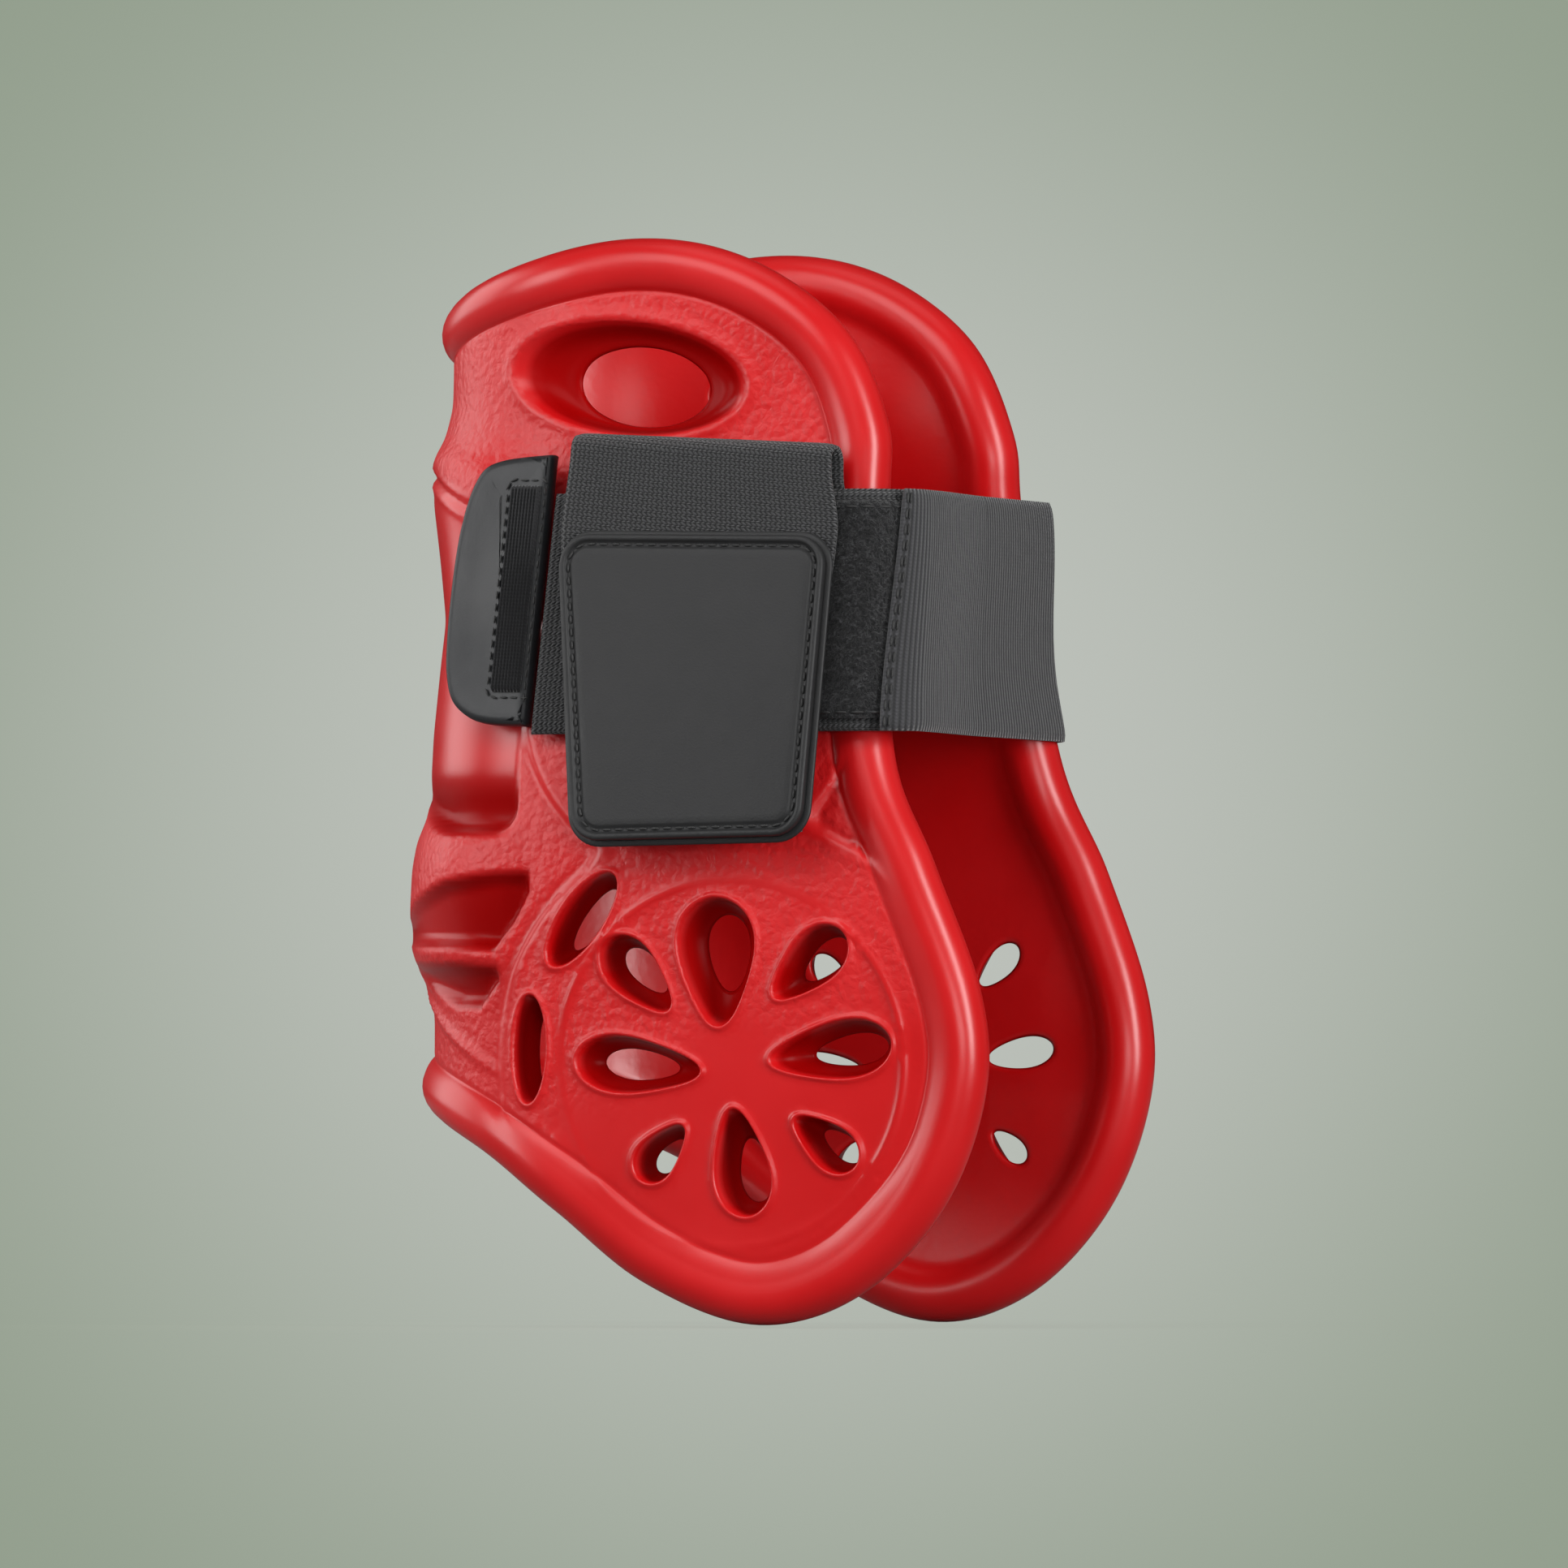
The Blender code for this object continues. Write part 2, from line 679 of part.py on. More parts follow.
def strap_reach(x):
    """A world X as a place along the strap's frame."""
    return (x - STRAP.translation.x) / strap_axes()[0].x


def flat_point(left, height, lift):
    """A point of the strap on the wing, at a world X, on the same plane as the bend's start."""
    along = strap_axes()[0]
    start = bend_point(0, height, lift)
    return start + along * (strap_reach(left) - (start - STRAP.translation).dot(along))


def far_rim_point(angle, height, lift):
    """A point round the far bead: 0 at the open front, 90 degrees on the far wing's outside."""
    centre = front_edge(1, height)
    radius = BEAD_RADIUS + FIT_GAP + lift
    return centre + Vector((radius * math.cos(angle), radius * math.sin(angle), 0))


def ribbon(name, low, high, thickness, group, material):
    """A strap layer: a sheet between two edges, thickened outwards."""
    piece = mesh_object(name, sheet_mesh(name, [low, high]), group, material)
    add_solidify(piece, thickness)
    return piece


def strap_layer(name, left, lift, thickness, half, group, material):
    """A layer of the near strap, from its left end to the end of the bend."""
    shares = [step / BEND_STEPS for step in range(BEND_STEPS + 1)]
    edges = []
    for height in (-half, half):
        flat = [flat_point(left, height, lift)]
        edges.append(flat + [bend_point(share, height, lift) for share in shares])
    return ribbon(name, edges[0], edges[1], thickness, group, material)


def set_parent(piece, holder):
    """Parent a piece and leave it where it is."""
    bpy.context.view_layer.update()
    piece.parent = holder
    piece.matrix_parent_inverse = holder.matrix_world.inverted()


def axis_empty(name, low, high, group):
    """An empty on a joint's axis, its Z along the axis."""
    empty = bpy.data.objects.new(name, None)
    empty.empty_display_type = 'SINGLE_ARROW'
    empty.empty_display_size = STRAP_HALF_WIDTH
    direction = (high - low).normalized()
    turn = direction.to_track_quat('Z', 'Y').to_matrix().to_4x4()
    empty.matrix_world = Matrix.Translation((low + high) / 2) @ turn
    group.objects.link(empty)
    return empty


def in_strap(piece, along=0, up=0, out=0):
    """Place a plate in the strap's frame."""
    piece.matrix_world = STRAP @ Matrix.Translation((along, up, out))
    return piece


def strap_place(along, up, out):
    """A point of the strap's frame, in the boot's frame."""
    return STRAP @ Vector((along, up, out))


def rectangle(left, right, bottom, top, radius):
    """A rounded rectangle, anticlockwise."""
    corners = ((left, bottom), (right, bottom), (right, top), (left, top))
    return rounded_outline(corners, [radius] * 4)


# The pieces on the near wing and round its front.

def near_hook_pad(group, material):
    """The tape pad on the near wing, which follows the wing's skin."""
    rows = []
    for row in range(BEND_STEPS + 1):
        height = blend(PAD_BOTTOM, PAD_TOP, row / BEND_STEPS)
        places = [blend(PAD_LEFT, PAD_RIGHT, step / BEND_STEPS) for step in range(BEND_STEPS + 1)]
        rows.append([wing_point(-1, place, height, WALL / 2 + FIT_GAP) for place in places])
    pad = mesh_object("near_hook_pad", sheet_mesh("near_hook_pad", rows), group, material)
    add_solidify(pad, TAPE)


def closure(group, webbing, tape):
    """The strap on the near wing: its webbing, and the tapes on its two faces."""
    strap = strap_layer("closure_webbing", STRAP_LEFT, 0, WEBBING, STRAP_HALF_WIDTH, group, webbing)
    outer = strap_layer("outer_loop_tape", PAD_LEFT, WEBBING + FIT_GAP, LOOP_TAPE,
                        STRAP_HALF_WIDTH - TAPE_MARGIN, group, tape)
    outline = rectangle(strap_reach(PAD_LEFT), strap_reach(PAD_RIGHT), PAD_BOTTOM, PAD_TOP, STRAP_CORNER)
    inner = in_strap(plate_object("inner_hook_tape", outline, TAPE, group, tape), out=-FIT_GAP - TAPE / 2)
    return [strap, outer, inner]


def bridge(group, material):
    """The elastic across the open front, from the end of the bend to the far bead."""
    gap = Vector((0, FIT_GAP, 0))
    edges = []
    for height in (-STRAP_HALF_WIDTH, STRAP_HALF_WIDTH):
        near = bend_point(1, height, 0) + gap
        far = far_rim_point(0, height, 0) - gap
        edges.append([blend(near, far, step / BEND_STEPS) for step in range(BEND_STEPS + 1)])
    return ribbon("elastic_band", edges[0], edges[1], ELASTIC, group, material)


def lock_fold():
    """The lock tab's layers: the front leaf's inner face, the fold's radius and its centre's height."""
    front = WEBBING + LOOP_TAPE + TAPE + FIT_GAP * 3
    radius = (front + FIT_GAP) / 2
    return front, radius, TAB_FOLD_HEIGHT - radius - TAB_THICKNESS


def lock_tab_back(group, material):
    """The tab's back leaf and its fold over the strap's top edge."""
    front, radius, centre = lock_fold()
    middle = front - radius
    path = [(STRAP_HALF_WIDTH - TAB_BACK_LAP, -FIT_GAP)]
    for step in range(BEND_STEPS + 1):
        angle = math.pi * step / BEND_STEPS
        path.append((centre + radius * math.sin(angle), middle - radius * math.cos(angle)))
    left = strap_reach(TAB_LEFT)
    edges = [[strap_place(place, up, out) for up, out in path] for place in (left, left + TAB_WIDTH)]
    return ribbon("lock_tab_back", edges[0], edges[1], TAB_THICKNESS, group, material)


def label_outline(inset):
    """The label's rounded trapezoid, drawn in from its edge by an inset."""
    middle = strap_reach(TAB_LEFT) + TAB_WIDTH / 2
    top = LABEL_TOP - inset
    bottom = LABEL_TOP - LABEL_HEIGHT + inset
    low = LABEL_BOTTOM_WIDTH / 2 - inset
    high = LABEL_TOP_WIDTH / 2 - inset
    corners = ((middle - low, bottom), (middle + low, bottom), (middle + high, top), (middle - high, top))
    return rounded_outline(corners, [LABEL_CORNER - inset] * 4)


def lock_flap(group, webbing, tape, rubber, cutters):
    """The tab's front leaf with its hook tape, and the label with its backing."""
    front, _, centre = lock_fold()
    left = strap_reach(TAB_LEFT)
    right = left + TAB_WIDTH
    taper = (TAB_WIDTH - LABEL_BOTTOM_WIDTH) / 2 + LABEL_RIM_WIDTH
    shoulder = LABEL_TOP - LABEL_CORNER
    hem = LABEL_TOP - LABEL_HEIGHT + LABEL_RIM_WIDTH
    outline = [(left + taper, hem), (right - taper, hem), (right, shoulder), (right, centre - FIT_GAP),
               (left, centre - FIT_GAP), (left, shoulder)]
    leaf = in_strap(plate_object("lock_tab_front", outline, TAB_THICKNESS, group, webbing),
                    out=front + TAB_THICKNESS / 2)
    half = STRAP_HALF_WIDTH - TAPE_MARGIN
    margin = (TAB_WIDTH - LOCK_TAPE_WIDTH) / 2
    pad = rectangle(left + margin, right - margin, -half, half, STRAP_CORNER)
    hook = in_strap(plate_object("lock_hook_tape", pad, TAPE, group, tape), out=front - FIT_GAP - TAPE / 2)
    face = front + TAB_THICKNESS + FIT_GAP
    backing = in_strap(plate_object("label_backing", label_outline(0), LABEL_BACKING, group, rubber),
                       out=face + LABEL_BACKING / 2)
    face += LABEL_BACKING + FIT_GAP
    label = in_strap(plate_object("label_patch", label_outline(LABEL_BORDER), LABEL_THICKNESS, group, rubber),
                     out=face + LABEL_THICKNESS / 2)
    recess = plate_object("label_recess", label_outline(LABEL_BORDER + LABEL_RIM_WIDTH),
                          LABEL_RIM_DEPTH * 2, cutters, None)
    in_strap(recess, out=face + LABEL_THICKNESS)
    hide_cutter(recess)
    add_boolean(label, 'DIFFERENCE', recess)
    return [leaf, hook, backing, label]


def grip_frame():
    """The pull's frame: its origin on the hinge line at the strap's left end, its X along the pull."""
    out = (WEBBING + GRIP_THICKNESS) / 2
    seam = FIT_GAP + GRIP_THICKNESS * math.sin(GRIP_SET_IN)
    place = Matrix.Translation((strap_reach(STRAP_LEFT) - seam, 0, out))
    return STRAP @ place @ Matrix.Rotation(-GRIP_SET_IN, 4, 'Y')


def grip_strip_outline():
    """The ribbed strip's section: a flat base and a row of ribs."""
    pitch = GRIP_STRIP_WIDTH / GRIP_RIB_COUNT
    points = [(GRIP_STRIP_WIDTH, 0)]
    for rib in reversed(range(GRIP_RIB_COUNT)):
        start = rib * pitch
        slope = pitch * GRIP_RIB_SLOPE_SHARE
        points += [(start + pitch, GRIP_RIB), (start + pitch - slope, GRIP_RIB * 2),
                   (start + slope, GRIP_RIB * 2)]
    return points + [(0, GRIP_RIB), (0, 0)]


def grip(group, rubber, webbing):
    """The rubber pull and the ribbed strip sewn onto it."""
    frame = grip_frame()
    corners = [(x * GRIP_REACH, GRIP_BOTTOM + share * (GRIP_TOP - GRIP_BOTTOM)) for x, share in GRIP_SHARES]
    radii = [STRAP_CORNER, STRAP_CORNER] + [GRIP_CORNER] * (len(corners) - 2)
    tip = plate_object("grip_tip", rounded_outline(corners, radii), GRIP_THICKNESS, group, rubber)
    tip.matrix_world = frame @ Matrix.Translation((0, 0, -GRIP_THICKNESS / 2))
    length = GRIP_TOP - GRIP_BOTTOM - 2 * GRIP_STRIP_END
    strip = plate_object("grip_strip", grip_strip_outline(), length, group, webbing)
    place = Matrix.Translation((-GRIP_STRIP_INSET - GRIP_STRIP_WIDTH, (GRIP_TOP + GRIP_BOTTOM) / 2, FIT_GAP))
    strip.matrix_world = frame @ place @ Matrix.Rotation(math.pi / 2, 4, 'X')
    return [tip, strip]


# The far end of the elastic.

def anchor_edge(height, lift):
    """The anchor's path at a height: round the far bead, then back along the wing's outside."""
    turns = [math.pi / 2 * step / BEND_STEPS for step in range(BEND_STEPS + 1)]
    end = wing_point(1, ANCHOR_LEFT, height, WALL / 2 + FIT_GAP + lift)
    return [far_rim_point(turn, height, lift) for turn in turns] + [end]


def rivet_heights():
    """The two rivets' names and heights, set by the elastic's width."""
    height = STRAP_HALF_WIDTH * RIVET_HEIGHT_SHARE
    return (("upper", height), ("lower", -height))


def rivet_frame(height):
    """A rivet's frame: its origin on the far wing's outer skin, its Z along the rivet, outwards."""
    skin = WALL / 2
    along = wing_point(1, RIVET_PLACE + WALL, height, skin) - wing_point(1, RIVET_PLACE - WALL, height, skin)
    up = wing_point(1, RIVET_PLACE, height + WALL, skin) - wing_point(1, RIVET_PLACE, height - WALL, skin)
    out = up.cross(along).normalized()
    frame = Matrix((up.normalized(), out.cross(up).normalized(), out)).transposed().to_4x4()
    frame.translation = wing_point(1, RIVET_PLACE, height, skin)
    return frame


def anchor_stand(frame):
    """How far the anchor's outer face stands off the wing, along a rivet."""
    height = frame.translation.z
    ends = []
    for edge in (anchor_edge(-STRAP_HALF_WIDTH, ELASTIC), anchor_edge(STRAP_HALF_WIDTH, ELASTIC)):
        share = (RIVET_PLACE - edge[-1].x) / (edge[-2].x - edge[-1].x)
        ends.append(blend(edge[-1].y, edge[-2].y, share))
    face = blend(ends[0], ends[1], (height + STRAP_HALF_WIDTH) / (2 * STRAP_HALF_WIDTH))
    return (face - frame.translation.y) * frame.col[2].y


def turned_object(name, profile, group, material):
    """A solid turned about Z from a profile that runs down its outer side."""
    mesh = bpy.data.meshes.new(name)
    points = [(radius, 0, height) for radius, height in profile]
    mesh.from_pydata(points, [(index, index + 1) for index in range(len(points) - 1)], [])
    piece = mesh_object(name, mesh, group, material)
    screw = piece.modifiers.new("Turn", 'SCREW')
    screw.steps = RIVET_STEPS
    screw.render_steps = RIVET_STEPS
    screw.use_merge_vertices = True
    screw.merge_threshold = FIT_GAP * MERGE_SHARE
    screw.use_smooth_shade = True
    return piece


def rivet_profile(stand):
    """A tubular rivet's profile, from the top of its dome to its rolled end inside the wing."""
    seat = stand + FIT_GAP
    rim = seat + RIVET_RIM
    roll = -WALL - WASHER_THICKNESS - FIT_GAP * 2
    dome = [(RIVET_HEAD * math.sin(turn), rim + RIVET_DOME * math.cos(turn))
            for turn in DOME_TURNS]
    return dome + [(RIVET_HEAD, rim), (RIVET_HEAD, seat), (RIVET_SHANK, seat), (RIVET_SHANK, roll),
                   (RIVET_ROLL, roll), (RIVET_ROLL, roll - RIVET_RIM), (0, roll - RIVET_RIM)]


def rivet_holes(cutters):
    """The holes that both rivets take through the anchor and the far wing."""
    form = bmesh.new()
    for _, height in rivet_heights():
        frame = rivet_frame(height)
        reach = WALL + RIVET_HEAD
        rings = [[frame @ Vector((x, y, end)) for x, y in ring_outline(RIVET_SHANK + FIT_GAP, RIVET_STEPS)]
                 for end in (-reach, reach)]
        add_loft(form, rings)
    return cutter_object("rivet_holes", finished_mesh("rivet_holes", form), cutters)


def far_anchor(group, elastic, steel, holes):
    """The elastic's fixed end and the two rivets and washers that hold it."""
    edges = [anchor_edge(height, 0) for height in (-STRAP_HALF_WIDTH, STRAP_HALF_WIDTH)]
    anchor = ribbon("elastic_anchor", edges[0], edges[1], ELASTIC, group, elastic)
    add_boolean(anchor, 'DIFFERENCE', holes)
    for name, height in rivet_heights():
        frame = rivet_frame(height)
        rivet = turned_object("rivet_" + name, rivet_profile(anchor_stand(frame)), group, steel)
        rivet.matrix_world = frame
        washer = plate_object("washer_" + name, ring_outline(WASHER_RADIUS, RIVET_STEPS), WASHER_THICKNESS,
                              group, steel, ring_outline(RIVET_SHANK + FIT_GAP, RIVET_STEPS))
        seat = -WALL - FIT_GAP - WASHER_THICKNESS / 2
        washer.matrix_world = frame @ Matrix.Translation((0, 0, seat))


# The joints' axes, which the moving pieces hang on.

def joint_axes(group):
    """The empties on the strap's two folds, on the lock tab's fold and at the pull's seam."""
    half = STRAP_HALF_WIDTH
    seam = Vector((0, FIT_GAP / 2, 0))
    swing = [far_rim_point(0, height, ELASTIC) - seam for height in (-half, half)]
    stack = WEBBING + FIT_GAP + LOOP_TAPE
    peel = [bend_point(1, height, stack) for height in (-half, half)]
    front, _, centre = lock_fold()
    left = strap_reach(TAB_LEFT)
    lift = [strap_place(place, centre, front + TAB_THICKNESS) for place in (left, left + TAB_WIDTH)]
    frame = grip_frame()
    pull = [frame @ Vector((0, up, 0)) for up in (GRIP_BOTTOM, GRIP_TOP)]
    names = ("strap_swing_axis", "strap_peel_axis", "lock_lift_axis", "grip_lift_axis")
    return [axis_empty(name, *line, group) for name, line in zip(names, (swing, peel, lift, pull))]


def shell_solid(group, cutters, holes, material):
    """The whole moulding: the trimmed wall with its bead, vent rings, vents and rivet holes."""
    shell = shell_wall(group, material)
    add_boolean(shell, 'INTERSECT', side_profile(cutters))
    add_boolean(shell, 'UNION', round_bead("edge_bead", bead_points(), BEAD_RADIUS, cutters))
    for name, side in (("near_vent_ring", -1), ("far_vent_ring", 1)):
        add_boolean(shell, 'UNION', round_bead(name, vent_ring(side), RING_BEAD, cutters))
    add_boolean(shell, 'DIFFERENCE', vent_cutters(cutters))
    add_boolean(shell, 'DIFFERENCE', holes)
    return shell


def main():
    """Build the boot."""
    clear_scene()
    group = new_collection("fetlock_boot")
    cutters = new_collection("cutters")
    red = new_material("red_foam", RED_FOAM)
    webbing = new_material("black_webbing", BLACK_WEBBING)
    tape = new_material("black_tape", BLACK_TAPE)
    elastic = new_material("black_elastic", BLACK_ELASTIC)
    rubber = new_material("grey_rubber", GREY_RUBBER)
    glossy = new_material("glossy_rubber", GLOSSY_RUBBER)
    steel = new_material("steel", STEEL)

    holes = rivet_holes(cutters)
    shell_solid(group, cutters, holes, red)
    near_hook_pad(group, tape)
    far_anchor(group, elastic, steel, holes)

    swing, peel, lift, pull = joint_axes(group)
    set_parent(bridge(group, elastic), swing)
    set_parent(peel, swing)
    set_parent(lift, peel)
    set_parent(pull, peel)
    for piece in closure(group, webbing, tape) + [lock_tab_back(group, webbing)]:
        set_parent(piece, peel)
    for piece in lock_flap(group, webbing, tape, rubber, cutters):
        set_parent(piece, lift)
    for piece in grip(group, glossy, webbing):
        set_parent(piece, pull)


main()
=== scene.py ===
"""A dressed fetlock boot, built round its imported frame.

Sizes are in millimetres until a mesh is made. +X is the open front, -Y the near wing with the closure.
"""
import logging
import math
from dataclasses import dataclass, field
from enum import Enum
from typing import Callable, Iterable, Sequence

import bpy
import numpy as np
from bpy.types import Material, NodeSocket, Object
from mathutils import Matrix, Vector
from mathutils.geometry import delaunay_2d_cdt
from mathutils.kdtree import KDTree


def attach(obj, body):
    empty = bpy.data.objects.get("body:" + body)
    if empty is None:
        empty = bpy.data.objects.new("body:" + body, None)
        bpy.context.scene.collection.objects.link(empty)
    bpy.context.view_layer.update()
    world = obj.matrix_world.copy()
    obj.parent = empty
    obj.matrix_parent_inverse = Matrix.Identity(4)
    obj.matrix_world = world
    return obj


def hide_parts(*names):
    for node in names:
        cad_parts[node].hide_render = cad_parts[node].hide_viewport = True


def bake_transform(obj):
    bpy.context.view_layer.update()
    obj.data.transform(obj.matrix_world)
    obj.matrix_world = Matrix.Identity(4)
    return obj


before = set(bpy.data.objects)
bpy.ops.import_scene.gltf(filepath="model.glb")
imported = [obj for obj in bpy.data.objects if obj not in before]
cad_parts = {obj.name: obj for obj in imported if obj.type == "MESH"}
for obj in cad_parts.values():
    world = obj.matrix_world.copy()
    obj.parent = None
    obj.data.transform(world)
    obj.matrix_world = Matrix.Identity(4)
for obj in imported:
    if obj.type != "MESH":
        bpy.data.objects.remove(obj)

LOG = logging.getLogger("fetlock_boot")
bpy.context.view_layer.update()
MM = 0.001
Pair = tuple[float, float]
Triple = tuple[float, float, float]
Colour = tuple[float, float, float, float]
Rail = tuple[np.ndarray, np.ndarray, np.ndarray]
Face = tuple[int, ...]


class Body(Enum):
    """The frame's moving bodies."""

    MOULDING = "moulding"
    BRIDGE = "strap_bridge"
    CLOSURE = "strap_closure"
    FLAP = "lock_flap"
    PULL = "pull"


class VentShape(Enum):
    """The outlines that the moulding's vents have."""

    OVAL = "oval"
    TEARDROP = "teardrop"


# Curves and places.

def smoothstep(start: float, end: float, value: np.ndarray) -> np.ndarray:
    """Go smoothly from 0 at start to 1 at end."""
    share = np.clip((value - start) / (end - start), 0.0, 1.0)
    return share * share * (3 - 2 * share)


def bell(value: np.ndarray, middle: float, width: float) -> np.ndarray:
    """A bell curve of height 1."""
    return np.exp(-((value - middle) / width) ** 2)


def unit(rows: np.ndarray) -> np.ndarray:
    """Scale vectors to length one."""
    return rows / np.maximum(np.linalg.norm(rows, axis=-1, keepdims=True), 1e-12)


def full_turn(count: int) -> np.ndarray:
    """So many even steps of one full turn."""
    return 2 * math.pi * np.arange(count) / count


def circle(radius: float, turn: np.ndarray) -> np.ndarray:
    """Points on a circle round the origin."""
    return radius * np.stack([np.cos(turn), np.sin(turn)], axis=1)


def catmull(points: np.ndarray, steps: int) -> np.ndarray:
    """Draw a Catmull-Rom curve through points, one a row, with so many steps to each span."""
    ends = np.vstack([points[:1], points, points[-1:]])
    rows = []
    for before, start, end, after in zip(ends, ends[1:], ends[2:], ends[3:]):
        for share in np.arange(steps) / steps:
            rows.append(0.5 * (2 * start + (end - before) * share
                               + (2 * before - 5 * start + 4 * end - after) * share ** 2
                               + (3 * start - before - 3 * end + after) * share ** 3))
    return np.array(rows + [points[-1]])


def resample(points: np.ndarray, measure: np.ndarray, step: float) -> np.ndarray:
    """Space a path's points evenly, about a step apart along the same path in space."""
    lengths = np.concatenate([[0], np.cumsum(np.linalg.norm(np.diff(measure, axis=0), axis=1))])
    places = np.linspace(0, lengths[-1], max(2, round(lengths[-1] / step)) + 1)
    return np.stack([np.interp(places, lengths, column) for column in points.T], axis=1)


def inside(points: np.ndarray, loop: np.ndarray) -> np.ndarray:
    """Say which points lie inside a closed loop."""
    result = np.zeros(len(points), bool)
    for (x0, y0), (x1, y1) in zip(loop, np.roll(loop, -1, axis=0)):
        crosses = (y0 > points[:, 1]) != (y1 > points[:, 1])
        if crosses.any():
            reach = (x1 - x0) * (points[:, 1] - y0) / (y1 - y0 + 1e-15) + x0
            result ^= crosses & (points[:, 0] < reach)
    return result


def outside(points: np.ndarray, loops: Iterable[np.ndarray]) -> np.ndarray:
    """Keep the points that lie in none of the loops."""
    for loop in loops:
        points = points[~inside(points, loop)]
    return points


def nearest(points: np.ndarray, others: np.ndarray) -> tuple[np.ndarray, np.ndarray]:
    """How far each point is from the nearest of the others, and that one's number."""
    tree = KDTree(len(others))
    for index, other in enumerate(others):
        tree.insert((*other, 0.0)[:3], index)
    tree.balance()
    found = [tree.find((*point, 0.0)[:3]) for point in points]
    return np.array([row[2] for row in found]), np.array([row[1] for row in found], int)


def clearance(points: np.ndarray, others: np.ndarray) -> np.ndarray:
    """How far each point is from the nearest of a few others."""
    return np.sqrt(((points[:, None] - others[None]) ** 2).sum(2)).min(1)


def path_grid(low: np.ndarray, high: np.ndarray, count: int) -> np.ndarray:
    """A ruled grid between two lines, rows along them."""
    return low[:, None] + (high - low)[:, None] * np.linspace(0, 1, count)[None, :, None]


def arc_lengths(grid: np.ndarray) -> np.ndarray:
    """How far along its rows each point of a grid is."""
    steps = np.linalg.norm(np.diff(grid, axis=0), axis=2)
    return np.concatenate([np.zeros((1, grid.shape[1])), np.cumsum(steps, axis=0)])


# Meshes.

def make_piece(name: str, points: np.ndarray, faces: Iterable[Sequence[int]], material: Material,
               uvs: np.ndarray | None = None, marks: dict[str, np.ndarray] | None = None) -> Object:
    """Make a smooth object at the origin.

    Args:
        name: the piece's name.
        points: its points, in millimetres.
        faces: its faces.
        material: its finish.
        uvs: a UV place for each point, in metres.
        marks: float attributes to keep on its points.

    Returns:
        The linked object.
    """
    mesh = bpy.data.meshes.new(name)
    mesh.from_pydata((np.asarray(points) * MM).tolist(), [], [tuple(face) for face in faces])
    mesh.validate()
    mesh.shade_smooth()
    mesh.materials.append(material)
    if uvs is not None:
        layer = mesh.uv_layers.new(name="UVMap")
        corners = np.zeros(len(mesh.loops), np.int32)
        mesh.loops.foreach_get("vertex_index", corners)
        layer.data.foreach_set("uv", np.asarray(uvs, np.float32)[corners].ravel())
    for mark, values in (marks or {}).items():
        mesh.attributes.new(mark, 'FLOAT', 'POINT').data.foreach_set("value", np.asarray(values, np.float32))
    return link(name, mesh)


def link(name: str, data: bpy.types.ID) -> Object:
    """Put data into the scene under a name."""
    piece = bpy.data.objects.new(name, data)
    bpy.context.scene.collection.objects.link(piece)
    return piece


def settle(piece: Object, slot: str, *nodes: str, body: Body | None = None) -> Object:
    """Hide the soft solids that a piece stands for and, unless it bends, put it on its body."""
    if body:
        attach(piece, body.value)
    if nodes:
        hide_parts(*nodes)
    return piece


def bend_between(piece: Object, first: Body, second: Body, start: np.ndarray, end: np.ndarray) -> None:
    """Bake a piece's place into its mesh."""
    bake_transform(piece)


def bend_at(piece: Object, first: Body, second: Body, hinge: tuple[np.ndarray, np.ndarray], reach: float) -> None:
    """Find the span round the hinge between two places, within a reach to each side of it, and bake a piece's place
    into its mesh.
    """
    axis = unit(hinge[1] - hinge[0])
    way = unit(np.array([0, -1.0, 0]) + axis * axis[1]) * reach
    middle = (hinge[0] + hinge[1]) / 2
    bend_between(piece, first, second, middle - way, middle + way)


def grid_faces(rows: int, columns: int, start: int = 0, flip: bool = False) -> list[Face]:
    """Quads over a grid of points, whose normal is row step cross column step."""
    index = np.arange(rows * columns).reshape(rows, columns) + start
    quads = np.stack([index[:-1, :-1], index[1:, :-1], index[1:, 1:], index[:-1, 1:]], axis=-1).reshape(-1, 4)
    return [tuple(quad[::-1] if flip else quad) for quad in quads.tolist()]


def bridge_loops(first: Sequence[int], second: Sequence[int], closed: bool = True) -> list[Face]:
    """Quads between two loops of as many points."""
    count = len(first) if closed else len(first) - 1
    return [(first[i], first[(i + 1) % len(first)], second[(i + 1) % len(first)], second[i]) for i in range(count)]


def grid_normals(middle: np.ndarray) -> np.ndarray:
    """The unit normals of a grid: row step cross column step."""
    return unit(np.cross(np.gradient(middle, axis=0), np.gradient(middle, axis=1)))


def slab(name: str, middle: np.ndarray, half: np.ndarray, material: Material, along: np.ndarray, across: np.ndarray,
         normal: np.ndarray | None = None) -> Object:
    """Make a closed strip of cloth from its middle surface.

    Args:
        name: the piece's name.
        middle: a grid of points, rows by columns by 3.
        half: half the thickness at each.
        material: its finish.
        along: the first UV number at each, in millimetres.
        across: the second.
        normal: one normal for the whole strip; or else the grid's own, row step cross column step.
    """
    if normal is None:
        normal = grid_normals(middle)
    rows, columns = half.shape
    count = half.size
    stand = normal * half[..., None]
    points = np.concatenate([(middle + stand).reshape(-1, 3), (middle - stand).reshape(-1, 3)])
    faces = grid_faces(rows, columns) + grid_faces(rows, columns, count, flip=True)
    index = np.arange(count).reshape(rows, columns)
    border = np.concatenate([index[0, :-1], index[:-1, -1], index[-1, :0:-1], index[:0:-1, 0]]).tolist()
    faces += [(a, b, b + count, a + count) for a, b in zip(border, border[1:] + border[:1])]
    flat = (np.stack([along, across], axis=-1) * MM).reshape(-1, 2)
    return make_piece(name, points, faces, material, np.concatenate([flat, flat]))


